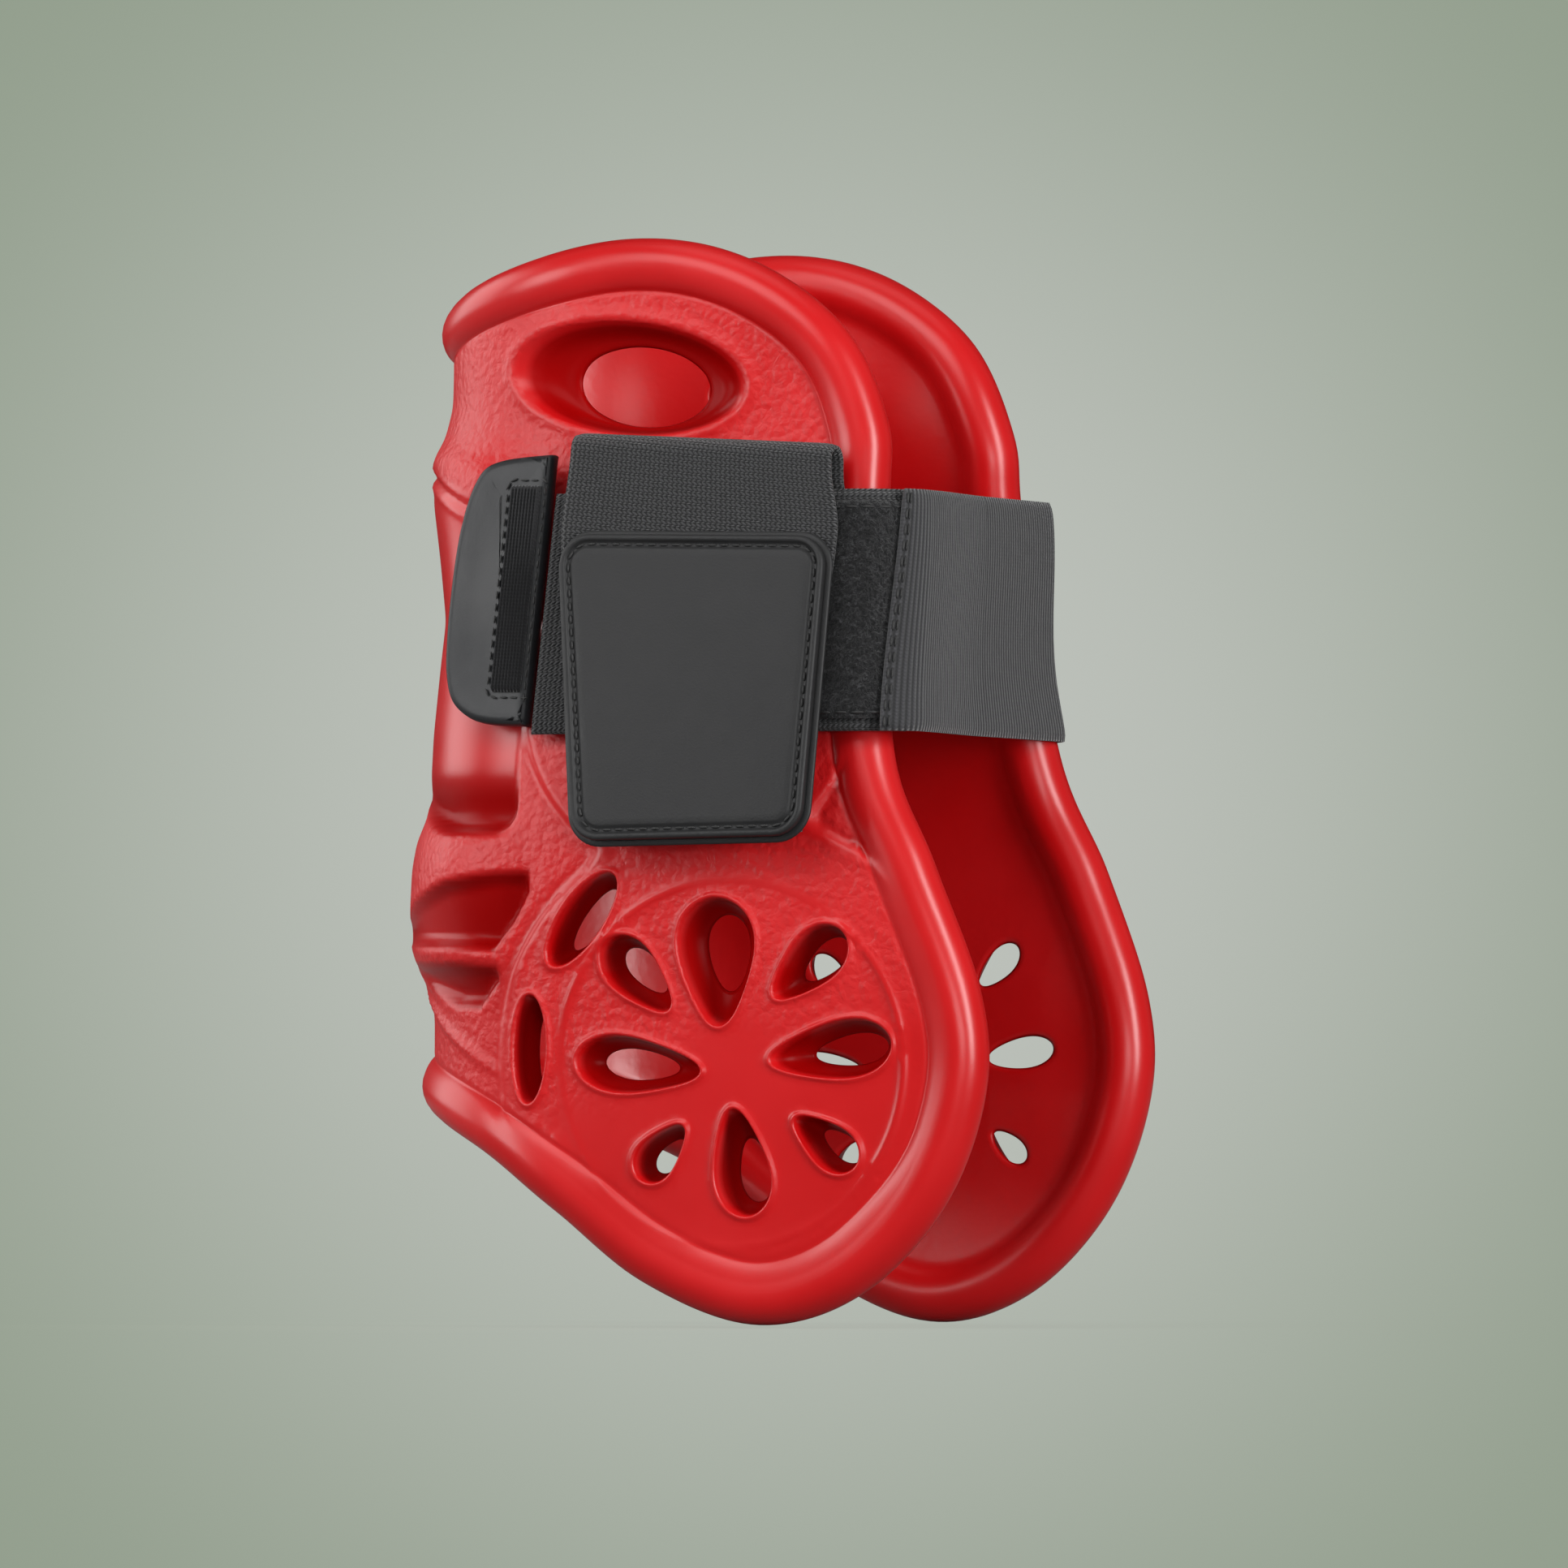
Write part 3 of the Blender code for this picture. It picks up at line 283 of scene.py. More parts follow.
def selvedge(width: int, thickness: float, length: int, ends: bool = True) -> np.ndarray:
    """Half thicknesses of a strip whose edges are rounded over, rows along its length."""
    across, along = np.ones(width), np.ones(length)
    across[:3], across[-3:] = (0.35, 0.8, 0.96), (0.96, 0.8, 0.35)
    if ends:
        along[:2], along[-2:] = (0.5, 0.9), (0.9, 0.5)
    return thickness / 2 * along[:, None] * across[None, :]


def tape_patch(name: str, place: Callable[[np.ndarray, np.ndarray], np.ndarray], along: np.ndarray,
               across: np.ndarray, thickness: float, material: Material) -> Object:
    """Make a patch of hook tape, with a rippled pile, whose middle surface is a place's function."""
    along, across = np.meshgrid(along, across, indexing="ij")
    ripple = 1 + 0.2 * np.sin(along * 6.5) * np.sin(across * 6.5)
    return slab(name, place(along, across), selvedge(along.shape[1], thickness, len(along)) * ripple, material,
                along, across)


def ring_stack(name: str, rings: Sequence[np.ndarray], material: Material) -> Object:
    """Make a closed body from stacked loops, its two ends closed by a fan to their middles."""
    count = len(rings[0])
    points = np.concatenate(list(rings) + [rings[0].mean(0)[None], rings[-1].mean(0)[None]])
    levels = [[level * count + i for i in range(count)] for level in range(len(rings))]
    faces = [face for low, high in zip(levels, levels[1:]) for face in bridge_loops(low, high)]
    foot, head = len(points) - 2, len(points) - 1
    faces += [((i + 1) % count, i, foot) for i in range(count)]
    faces += [(levels[-1][i], levels[-1][(i + 1) % count], head) for i in range(count)]
    return make_piece(name, points, faces, material)


# Node trees and materials.

class Nodes:
    """A short way to write a node tree."""

    def __init__(self, tree: bpy.types.NodeTree) -> None:
        """Take the tree."""
        self.tree = tree

    def put(self, socket: NodeSocket, value: object) -> None:
        """Link or set a socket."""
        if isinstance(value, NodeSocket):
            self.tree.links.new(value, socket)
        else:
            socket.default_value = value

    def node(self, kind: str, inputs: dict[object, object], **settings: object) -> bpy.types.bpy_prop_collection:
        """Add a node.

        Args:
            kind: the node's type.
            inputs: values or links by socket name or number.
            settings: the node's own settings.

        Returns:
            Its outputs.
        """
        made = self.tree.nodes.new(kind)
        for key, value in settings.items():
            setattr(made, key, value)
        for key, value in inputs.items():
            self.put(made.inputs[key], value)
        return made.outputs


class Graph(Nodes):
    """A short way to write a material's nodes."""

    def __init__(self, name: str) -> None:
        """Start a material with one Principled shader."""
        self.material = bpy.data.materials.new(name)
        self.material.use_nodes = True
        super().__init__(self.material.node_tree)
        self.shader = self.tree.nodes["Principled BSDF"]

    def math(self, operation: str, *values: object, clamp: bool = False) -> NodeSocket:
        """Add a Math node and give its result."""
        return self.node("ShaderNodeMath", dict(enumerate(values)), operation=operation, use_clamp=clamp)[0]

    def times(self, first: object, second: object, clamp: bool = False) -> NodeSocket:
        """Multiply two values."""
        return self.math('MULTIPLY', first, second, clamp=clamp)

    def fused(self, first: object, second: object, added: object) -> NodeSocket:
        """Multiply two values and add a third."""
        return self.math('MULTIPLY_ADD', first, second, added)

    def weigh(self, *rows: tuple[object, float]) -> NodeSocket:
        """Add up values, each times its weight."""
        total: object = 0.0
        for value, weight in rows:
            total = self.fused(value, weight, total)
        return total

    def noise(self, place: object, scale: float, detail: float = 3.0, roughness: float = 0.5,
              distortion: float = 0.0) -> NodeSocket:
        """Add a noise and give its factor."""
        return self.node("ShaderNodeTexNoise", {"Vector": place, "Scale": scale, "Detail": detail,
                                                "Roughness": roughness, "Distortion": distortion})[0]

    def cells(self, place: object, scale: float) -> NodeSocket:
        """Add a cell pattern and give its distance."""
        return self.node("ShaderNodeTexVoronoi", {"Vector": place, "Scale": scale})["Distance"]

    def pebbles(self, place: NodeSocket, size: float) -> NodeSocket:
        """Soft cells of about a size in metres, on a place that wanders a little."""
        noise = self.node("ShaderNodeTexNoise", {"Vector": place, "Scale": 700, "Detail": 2.0})[1]
        centred = self.node("ShaderNodeVectorMath", {0: noise, 1: (0.5, 0.5, 0.5)}, operation='SUBTRACT')[0]
        wander = self.node("ShaderNodeVectorMath", {0: centred, "Scale": 0.001}, operation='SCALE')[0]
        bent = self.node("ShaderNodeVectorMath", {0: place, 1: wander}, operation='ADD')[0]
        return self.node("ShaderNodeTexVoronoi", {"Vector": bent, "Scale": 1 / size, "Smoothness": 0.35},
                         feature='SMOOTH_F1')["Distance"]

    def ramp(self, value: object, low: float, high: float, start: float = 0.0, end: float = 1.0) -> NodeSocket:
        """Map a value smoothly from one range to another, kept in that range."""
        return self.node("ShaderNodeMapRange", {"Value": value, 1: low, 2: high, 3: start, 4: end},
                         interpolation_type='SMOOTHSTEP')[0]

    def mix(self, share: object, first: object, second: object) -> NodeSocket:
        """Mix two colours."""
        return self.node("ShaderNodeMix", {0: share, 6: first, 7: second}, data_type='RGBA')[2]

    def place(self) -> NodeSocket:
        """The piece's own coordinates, in metres."""
        return self.node("ShaderNodeTexCoord", {})["Object"]

    def split(self, vector: NodeSocket) -> list[NodeSocket]:
        """A vector's three numbers."""
        return list(self.node("ShaderNodeSeparateXYZ", {0: vector}))

    def uv(self) -> tuple[NodeSocket, NodeSocket, NodeSocket]:
        """The UV place as a vector and as its two numbers."""
        vector = self.node("ShaderNodeTexCoord", {})["UV"]
        return vector, *self.split(vector)[:2]

    def mark(self, name: str) -> NodeSocket:
        """A float attribute of the mesh."""
        return self.node("ShaderNodeAttribute", {}, attribute_name=name)["Fac"]

    def wave(self, value: object, pitch: float, shift: object = 0.0) -> NodeSocket:
        """A sine of a length, from 0 to 1, which repeats at a pitch in metres."""
        return self.fused(self.math('SINE', self.fused(value, 2 * math.pi / pitch, shift)), 0.5, 0.5)

    def bump(self, height: object, depth: float, strength: object = 1.0) -> None:
        """Dent the shader's normal by a height from 0 to 1, so many metres deep."""
        made = self.node("ShaderNodeBump", {"Height": height, "Distance": depth, "Strength": strength})
        self.put(self.shader.inputs["Normal"], made[0])

    def finish(self, **sockets: object) -> Material:
        """Set the shader's sockets, named with underscores for spaces, and give the material."""
        for key, value in sockets.items():
            self.put(self.shader.inputs[key.replace("_", " ")], value)
        return self.material


@dataclass(frozen=True)
class FoamFinish:
    """The red moulded foam: leather grain outside, smooth satin on its beads, and painted shade that darkens its
    scoops, vents and the panel's undercut.
    """

    deep: Colour = (0.46, 0.0019, 0.0028, 1)
    bright: Colour = (0.57, 0.008, 0.010, 1)
    # The painted shade's colour, for the scoops, vents and undercut.
    painted_shade_colour: Colour = (0.26, 0.0008, 0.001, 1)
    grain_size: float = 0.0014

    def build(self) -> Material:
        """Build the material; the mesh's grain mark says where it is leathery, and its shade mark where painted shade
        darkens the red and cuts its specular.
        """
        graph = Graph("red_moulded_foam")
        place = graph.place()
        grain, shade = graph.mark("grain"), graph.mark("shade")
        wrinkles = graph.noise(place, 0.5 / self.grain_size, 3, 0.55, 0.6)
        leather = graph.weigh((wrinkles, 0.9), (graph.pebbles(place, self.grain_size), -0.55))
        graph.bump(graph.fused(leather, grain, graph.times(graph.noise(place, 600), 0.06)), 0.00036, 0.75)
        blotch = graph.noise(place, 40)
        tone = graph.fused(graph.times(wrinkles, grain), 0.3, graph.ramp(blotch, 0.25, 0.75, 0.05, 0.6))
        # The shade mark mixes in the painted shade colour and lowers the specular, standing in for shade in the
        # recesses.
        return graph.finish(Base_Color=graph.mix(shade, graph.mix(tone, self.deep, self.bright), self.painted_shade_colour),
                            Roughness=graph.fused(grain, 0.13, graph.ramp(blotch, 0.25, 0.75, 0.285, 0.33)),
                            Specular_IOR_Level=graph.fused(shade, -0.37, 0.42))


@dataclass(frozen=True)
class ElasticFinish:
    """Ribbed woven elastic, with its weave across the ribs."""

    colour: Colour = (0.009, 0.009, 0.01, 1)
    pale: Colour = (0.047, 0.0465, 0.051, 1)
    rib: float = 0.00105
    pick: float = 0.0006

    def build(self) -> Material:
        """Build the material, whose pattern follows the strap's length and width."""
        graph = Graph("black_ribbed_elastic")
        vector, along, across = graph.uv()
        ribs = graph.wave(along, self.rib, graph.times(graph.noise(vector, 200, 2), 0.3))
        picks = graph.wave(across, self.pick, graph.times(ribs, 2.2))
        graph.bump(graph.weigh((ribs, 0.7), (picks, 0.12), (graph.noise(vector, 4200, 3, 0.7), 0.2)), 0.00035, 0.9)
        tone = graph.times(ribs, graph.fused(picks, 0.4, 0.5), clamp=True)
        return graph.finish(Base_Color=graph.mix(tone, self.colour, self.pale), Roughness=0.78,
                            Sheen_Weight=0.25, Sheen_Roughness=0.5, Specular_IOR_Level=0.35)


@dataclass(frozen=True)
class WebbingFinish:
    """Woven webbing: chains of small stitches that run down the strap's width."""

    colour: Colour = (0.005, 0.005, 0.0055, 1)
    pale: Colour = (0.06, 0.06, 0.063, 1)
    chain: float = 0.0009
    link: float = 0.0005

    def build(self) -> Material:
        """Build the material, whose pattern follows the strap's length and width."""
        graph = Graph("black_woven_webbing")
        vector, along, across = graph.uv()
        zigzag = graph.times(graph.math('PINGPONG', across, self.link), 0.9 * 2 * math.pi / self.chain)
        wobble = graph.fused(graph.noise(vector, 700, 2), 3.0, zigzag)
        chains = graph.wave(along, self.chain, wobble)
        links = graph.wave(across, self.link, graph.fused(chains, 1.4, wobble))
        graph.bump(graph.weigh((chains, 0.5), (links, 0.4), (graph.noise(vector, 3800, 3, 0.7), 0.3)), 0.0004)
        tone = graph.times(chains, graph.fused(links, 0.7, 0.2), clamp=True)
        return graph.finish(Base_Color=graph.mix(tone, self.colour, self.pale), Roughness=0.85,
                            Sheen_Weight=0.2, Sheen_Roughness=0.5, Specular_IOR_Level=0.3)


@dataclass(frozen=True)
class PileFinish:
    """Hook or loop tape: a short tangled pile."""

    name: str = "black_loop_tape"
    colour: Colour = (0.004, 0.004, 0.0045, 1)
    pale: Colour = (0.055, 0.055, 0.058, 1)
    tuft: float = 0.0013

    def build(self) -> Material:
        """Build the material."""
        graph = Graph(self.name)
        place = graph.place()
        tangle = graph.noise(place, 1.6 / self.tuft, 4, 0.75, 1.5)
        graph.bump(graph.weigh((graph.math('SUBTRACT', 1.0, graph.cells(place, 1 / self.tuft)), 0.5), (tangle, 0.7)),
                   0.0009)
        return graph.finish(Base_Color=graph.mix(graph.ramp(tangle, 0.48, 0.72), self.colour, self.pale),
                            Roughness=0.95, Sheen_Weight=0.15, Specular_IOR_Level=0.2)


@dataclass(frozen=True)
class RubberFinish:
    """Soft grey rubber, matt or glossy."""

    name: str = "grey_label_rubber"
    colour: Colour = (0.0145, 0.0145, 0.015, 1)
    pale: Colour = (0.019, 0.019, 0.0195, 1)
    roughness: float = 0.5
    texture: float = 0.00006

    def build(self) -> Material:
        """Build the material."""
        graph = Graph(self.name)
        place = graph.place()
        cloud = graph.noise(place, 60, 4, 0.6)
        graph.bump(graph.noise(place, 2600, 3, 0.6), self.texture, 0.8)
        rough = graph.ramp(cloud, 0.3, 0.75, self.roughness - 0.05, self.roughness + 0.07)
        return graph.finish(Base_Color=graph.mix(graph.ramp(cloud, 0.35, 0.7), self.colour, self.pale),
                            Roughness=rough, Specular_IOR_Level=0.28)


@dataclass(frozen=True)
class ThreadFinish:
    """Dark sewing thread."""

    colour: Colour = (0.006, 0.006, 0.006, 1)
    pale: Colour = (0.02, 0.02, 0.02, 1)

    def build(self) -> Material:
        """Build the material."""
        graph = Graph("dark_thread")
        twist = graph.noise(graph.place(), 5000, 2)
        graph.bump(twist, 0.0001, 0.8)
        return graph.finish(Base_Color=graph.mix(twist, self.colour, self.pale), Roughness=0.6)


@dataclass(frozen=True)
class SteelFinish:
    """Plated steel with light turning marks."""

    colour: Colour = (0.55, 0.55, 0.54, 1)
    dull: Colour = (0.36, 0.36, 0.36, 1)

    def build(self) -> Material:
        """Build the material."""
        graph = Graph("plated_steel")
        place = graph.place()
        wear = graph.noise(place, 420, 4, 0.65)
        graph.bump(graph.noise(place, 3000, 2), 0.00002, 0.6)
        return graph.finish(Base_Color=graph.mix(graph.ramp(wear, 0.45, 0.7), self.colour, self.dull),
                            Roughness=graph.ramp(wear, 0.3, 0.7, 0.24, 0.4), Metallic=1.0)


class Palette:
    """Every finish of the boot, each built once."""

    def __init__(self) -> None:
        """Build the materials."""
        self.foam = FoamFinish().build()
        self.elastic = ElasticFinish().build()
        self.webbing = WebbingFinish().build()
        self.loop = PileFinish().build()
        self.hook = PileFinish("black_hook_tape", (0.012, 0.012, 0.013, 1), (0.05, 0.05, 0.052, 1), 0.0011).build()
        self.label = RubberFinish().build()
        self.pull = RubberFinish("glossy_pull_rubber", (0.012, 0.0124, 0.0135, 1), (0.017, 0.0178, 0.0195, 1),
                                 0.4, 0.00003).build()
        self.thread = ThreadFinish().build()
        self.steel = SteelFinish().build()


# The moulding.

@dataclass(frozen=True)
class BootForm:
    """The moulding's plain surface: a U whose width flares down the leg."""

    wall: float = 5.5
    bead: float = 4.8
    top_half_width: float = 28.3
    fetlock_half_width: float = 40.5
    flare: Pair = (40.0, -50.0)
    hem_tuck: float = 2.5
    toe_in: float = 5.0
    spine_depths: Pair = (32.4, 34.2)
    wing_reach: float = 70.0
    top_height: float = 57.8
    bottom_depth: float = 112.9
    arc_scale: float = 38.0
    top_edge: tuple[Pair, ...] = (
        (-0.49, 0.80), (-0.26, 0.91), (0.09, 1.0), (0.36, 0.955), (0.585, 0.78), (0.69, 0.53), (0.704, 0.29))
    bottom_edge: tuple[Pair, ...] = (
        (0.757, 0.204), (0.877, 0.386), (0.985, 0.566), (0.994, 0.70), (0.90, 0.848), (0.714, 0.962),
        (0.491, 1.0), (0.243, 0.944), (0.03, 0.843), (-0.186, 0.750), (-0.49, 0.675))

    @property
    def root(self) -> float:
        """Where the wing starts, measured round the spine."""
        return self.arc_scale * math.pi / 2

    @property
    def half_wall(self) -> float:
        """Half the wall's thickness."""
        return self.wall / 2

    def half_width(self, z: np.ndarray) -> np.ndarray:
        """Half the width at a height."""
        z = np.asarray(z, float)
        flare = smoothstep(self.flare[0], self.flare[1], z)
        tuck = np.maximum(self.flare[1] - z, 0) / (self.bottom_depth + self.flare[1])
        widening = (self.fetlock_half_width - self.top_half_width) * flare
        return self.top_half_width + widening - self.hem_tuck * tuck ** 2

    def spine_depth(self, z: np.ndarray) -> np.ndarray:
        """How far behind the leg's axis the spine lies at a height."""
        share = (self.top_height - np.asarray(z, float)) / (self.top_height + self.bottom_depth)
        return self.spine_depths[0] + (self.spine_depths[1] - self.spine_depths[0]) * share

    def wing_width(self, x: np.ndarray, z: np.ndarray) -> np.ndarray:
        """Half the width at a place on the wing."""
        return self.half_width(z) - self.toe_in * (np.maximum(x, 0) / self.wing_reach) ** 2

    def point(self, u: np.ndarray, z: np.ndarray, lift: np.ndarray | float = 0.0) -> np.ndarray:
        """A place on the surface.

        Args:
            u: the distance round the U from the spine's middle; below 0 on the near side.
            z: the height.
            lift: how far the point stands off the wall's middle.
        """
        u, z, lift = np.broadcast_arrays(*(np.asarray(value, float) for value in (u, z, lift)))
        side = np.where(u < 0, -1.0, 1.0)
        angle = np.minimum(np.abs(u) / self.arc_scale, math.pi / 2)
        reach = np.maximum(np.abs(u) - self.root, 0)
        x = np.where(reach > 0, reach, -(self.spine_depth(z) + lift) * np.cos(angle))
        y = np.where(reach > 0, self.wing_width(reach, z) + lift, (self.half_width(z) + lift) * np.sin(angle))
        return np.stack([x, side * y, z], axis=-1)

    def side_x(self, u: np.ndarray, z: np.ndarray) -> np.ndarray:
        """The world X of a place, as the side view shows it."""
        return self.point(np.abs(u), z)[..., 0]

    def to_plan(self, side: np.ndarray) -> np.ndarray:
        """Move side-view places to the flat plan, whose first number is the distance round the U."""
        x, z = side.T
        turn = np.arccos(np.clip(-x / self.spine_depth(z), 0, 1))
        return np.stack([np.where(x >= 0, self.root + x, turn * self.arc_scale), z], axis=1)

    def flat_place(self, points: np.ndarray) -> np.ndarray:
        """The plan's place of points near the wall's middle."""
        x, y, z = points.T
        turn = np.arctan2(y / self.half_width(z), -x / self.spine_depth(z))
        return np.stack([np.maximum(np.where(x > 0, self.root + x, turn * self.arc_scale), 0), z], axis=1)

    def edge_side(self) -> np.ndarray:
        """The bead's centre line in the side view."""
        scales = ((self.top_edge, self.top_height), (self.bottom_edge, -self.bottom_depth))
        return catmull(np.array([(self.wing_reach * x, scale * z) for rows, scale in scales for x, z in rows]), 12)

    def front_edge(self, side: float, height: float) -> np.ndarray:
        """The bead's centre on the front edge at a height."""
        edge = self.edge_side()
        reach = 0.0
        for low, high in zip(edge, edge[1:]):
            if (low[1] - height) * (high[1] - height) <= 0 and low[1] != high[1]:
                share = (height - low[1]) / (high[1] - low[1])
                reach = max(reach, low[0] + (high[0] - low[0]) * share)
        return np.array([reach, side * float(self.wing_width(reach, height)), height])


@dataclass(frozen=True)
class Vent:
    """A tapered hole through a wing, drawn in the side view."""

    shape: VentShape
    centre: Pair
    turn: float
    length: float
    width: float
    throat: Pair
    slide: Pair
    pinch: float = 0.42
    throat_ease: float = 0.35
    belly: float = 1.06

    def outline(self, share: float, grow: float, count: int) -> np.ndarray:
        """The vent's outline.

        Args:
            share: 0 at the outer skin, 1 at the throat.
            grow: how much wider than that it is drawn, each way.
            count: how many points it has.
        """
        turn = full_turn(count)
        length = self.length + (self.throat[0] - self.length) * share + 2 * grow
        width = self.width + (self.throat[1] - self.width) * share + 2 * grow
        across = np.sin(turn)
        if self.shape is VentShape.TEARDROP:
            behind = smoothstep(0.0, 1.0, (1 - np.cos(turn)) / 2)
            across = across * (1 - self.pinch * behind * (1 - self.throat_ease * share)) * self.belly
        x, z = np.cos(turn) * length / 2, across * width / 2
        cos, sin = math.cos(self.turn), math.sin(self.turn)
        return np.stack([self.centre[0] + self.slide[0] * share + x * cos - z * sin,
                         self.centre[1] + self.slide[1] * share + x * sin + z * cos], axis=1)


@dataclass(frozen=True)
class VentPlan:
    """The funnel, the flower of petals and the two slots behind it.

    Each petal and slot has its centre in the side view, its turn in degrees, its length and its width.
    """

    funnel: Vent = Vent(VentShape.OVAL, (8.3, 39.4), math.radians(-6.0), 42.5, 19.0, (23.4, 13.2), (0.9, -1.4))
    petals: tuple[tuple[float, ...], ...] = (
        (49.4, -72.6, 8, 20.8, 10.6), (45.7, -58.3, 42, 15.7, 9.7), (29.7, -57.8, 92, 21.0, 15.0),
        (15.7, -60.0, 135, 15.7, 9.7), (15.6, -74.9, 175, 22.0, 10.4), (19.5, -89.2, 227, 11.5, 7.5),
        (33.5, -90.9, 278, 17.6, 10.8), (48.3, -87.6, 323, 12.6, 8.0))
    slots: tuple[tuple[float, ...], ...] = ((5.7, -50.7, 233, 18.5, 7.2), (-3.8, -72.1, 268, 17.8, 5.6))
    petal_throat: Pair = (0.6, 0.52)
    slot_throat: Pair = (0.66, 0.5)
    slide: float = 0.07

    def build(self) -> list[Vent]:
        """List every vent of one wing."""
        return ([self.funnel] + [self.tapered(VentShape.TEARDROP, row, self.petal_throat, self.slide)
                                 for row in self.petals]
                + [self.tapered(VentShape.OVAL, row, self.slot_throat, 0.0) for row in self.slots])

    @staticmethod
    def tapered(shape: VentShape, row: Sequence[float], shares: Pair, slide: float) -> Vent:
        """One vent whose throat is a share of its size and set towards its wide end."""
        x, z, degrees, length, width = row
        turn = math.radians(degrees)
        return Vent(shape, (x, z), turn, length, width, (length * shares[0], width * shares[1]),
                    (length * slide * math.cos(turn), length * slide * math.sin(turn)))


@dataclass(frozen=True)
class Scoop:
    """A bite out of the spine's side, between two lines of flank angles and heights."""

    high: tuple[Pair, ...]
    low: tuple[Pair, ...]
    start: float
    end: float
    share: float


@dataclass(frozen=True)
class ReliefForm:
    """How the outer skin stands out of the plain wall: rolls, scoops, raised fields and rings."""

    form: BootForm
    ridge: float = 4.4
    upper: tuple[Pair, ...] = (
        (0.70, 0.0), (0.62, 0.02), (0.53, 0.30), (0.47, 0.74), (0.34, 0.72), (0.17, 0.38), (0.0, 0.08))
    lower: tuple[Pair, ...] = (
        (0.07, 0.2), (0.17, 0.34), (0.25, 0.36), (0.29, 0.36), (0.33, 0.76), (0.37, 0.92), (0.43, 0.97),
        (0.485, 0.93), (0.52, 0.62), (0.555, 0.12), (0.59, 0.0))
    fade: Pair = (56.0, 86.0)
    panel_step: float = 0.8
    panel_corner: float = 5.0
    panel_top: Pair = (27.5, -8.5)
    panel_right: float = 79.0
    panel_bottom: Pair = (-36.8, 6.0)
    millimetres_a_degree: float = 0.66
    scoop_depth: float = 4.2
    scoop_rows: tuple[Scoop, ...] = (
        Scoop(((28, -50.0), (38, -47.6), (57, -44.2), (72, -42.9), (84, -42.6)),
              ((28, -54.6), (60, -55.4), (73, -55.8), (79, -51.0), (84, -45.0)), 26.0, 83.0, 1.0),
        Scoop(((28, -57.6), (60, -57.8), (72, -58.2), (80, -58.5)),
              ((28, -58.6), (38, -61.6), (55, -65.0), (66, -65.2), (72, -62.0), (80, -58.0)), 24.0, 74.0, 0.7))
    boss: Triple = (23.5, -12.7, 30.0)
    disc_radius: float = 41.0
    ring_radius: float = 30.2
    blending: float = 1.6
    flower: Pair = (31.6, -74.5)

    def roll(self, z: np.ndarray) -> np.ndarray:
        """The rolls' smoothed profile at a height, as a share of the ridge."""
        rows = [(self.form.top_height * place, value) for place, value in self.upper]
        rows += [(-self.form.bottom_depth * place, value) for place, value in self.lower]
        step = 0.25
        grid = np.arange(-120.0, 70.0, step)
        kernel = np.exp(-0.5 * (np.arange(-12, 13) * step) ** 2)
        values = np.interp(grid, *zip(*sorted(rows)))
        return np.interp(z, grid, np.convolve(values, kernel / kernel.sum(), mode="same"))

    def flank(self, u: np.ndarray) -> np.ndarray:
        """The turn round the spine, in degrees."""
        return np.degrees(np.minimum(np.abs(u) / self.form.arc_scale, math.pi / 2))

    def panel(self, flank: np.ndarray, z: np.ndarray) -> np.ndarray:
        """How far inside the spine's smooth panel a place is, in millimetres."""
        corner = self.panel_corner
        top = self.panel_top[0] + self.panel_top[1] * smoothstep(18, 74, flank)
        right = (self.panel_right - flank) * self.millimetres_a_degree
        bottom = z - self.panel_bottom[0] - self.panel_bottom[1] * (1 - smoothstep(15, 60, flank))
        rounded = corner - np.hypot(np.maximum(corner - right, 0), np.maximum(corner - bottom, 0))
        both = (right < corner) & (bottom < corner)
        return np.minimum(top - z, np.where(both, rounded, np.minimum(right, bottom)))

    def scoops(self, flank: np.ndarray, z: np.ndarray) -> tuple[np.ndarray, np.ndarray]:
        """The bite of the two scoops under the panel, and how smooth they leave the skin."""
        bite, smooth = np.zeros_like(z), np.zeros_like(z)
        for scoop in self.scoop_rows:
            top = np.interp(flank, *zip(*scoop.high))
            bottom, ahead = (np.interp(flank + step, *zip(*scoop.low)) for step in (0, 1))
            lean = np.hypot(1.0, (ahead - bottom) / self.millimetres_a_degree)
            side = (scoop.end - flank) * self.millimetres_a_degree
            depth = np.minimum(np.minimum(top - z, (z - bottom) / lean), side)
            fall = 0.45 + 0.55 * np.clip((top - z) / np.maximum(top - bottom, 1.0), 0, 1)
            rise = 0.3 + 0.7 * smoothstep(scoop.start, scoop.start + 34, flank)
            deep = self.scoop_depth * scoop.share * smoothstep(-0.4, 2.2, depth) * fall
            bite = np.maximum(bite, deep * rise * smoothstep(20, 30, flank))
            smooth = np.maximum(smooth, smoothstep(-0.6, 0.4, depth) * smoothstep(18, 28, flank))
        return bite, smooth

    def insets(self, x: np.ndarray, z: np.ndarray) -> tuple[np.ndarray, np.ndarray, np.ndarray]:
        """How far inside the strap's boss and the flower's disc a place is, and how far from the flower's middle."""
        reach = np.hypot(x - self.flower[0], z - self.flower[1])
        return self.boss[2] - np.hypot(x - self.boss[0], z - self.boss[1]), self.disc_radius - reach, reach

    def fields(self, x: np.ndarray, z: np.ndarray) -> np.ndarray:
        """The raised strap boss and flower disc, and the ring round the flower."""
        boss, disc, reach = self.insets(x, z)
        both = self.blending * np.logaddexp(boss / self.blending, disc / self.blending)
        lift = 0.5 * smoothstep(-0.9, 0.5, both) - 0.3 * bell(both, -0.9, 0.6) + 0.22 * bell(both, 0.8, 0.7)
        bearing = np.degrees(np.arctan2(z - self.flower[1], x - self.flower[0]))
        shown = 0.25 + 0.75 * np.maximum(smoothstep(-48, -30, bearing) * smoothstep(56, 42, bearing),
                                         smoothstep(98, 112, bearing) * smoothstep(172, 160, bearing))
        return lift + 0.5 * shown * bell(reach, self.ring_radius, 0.55)

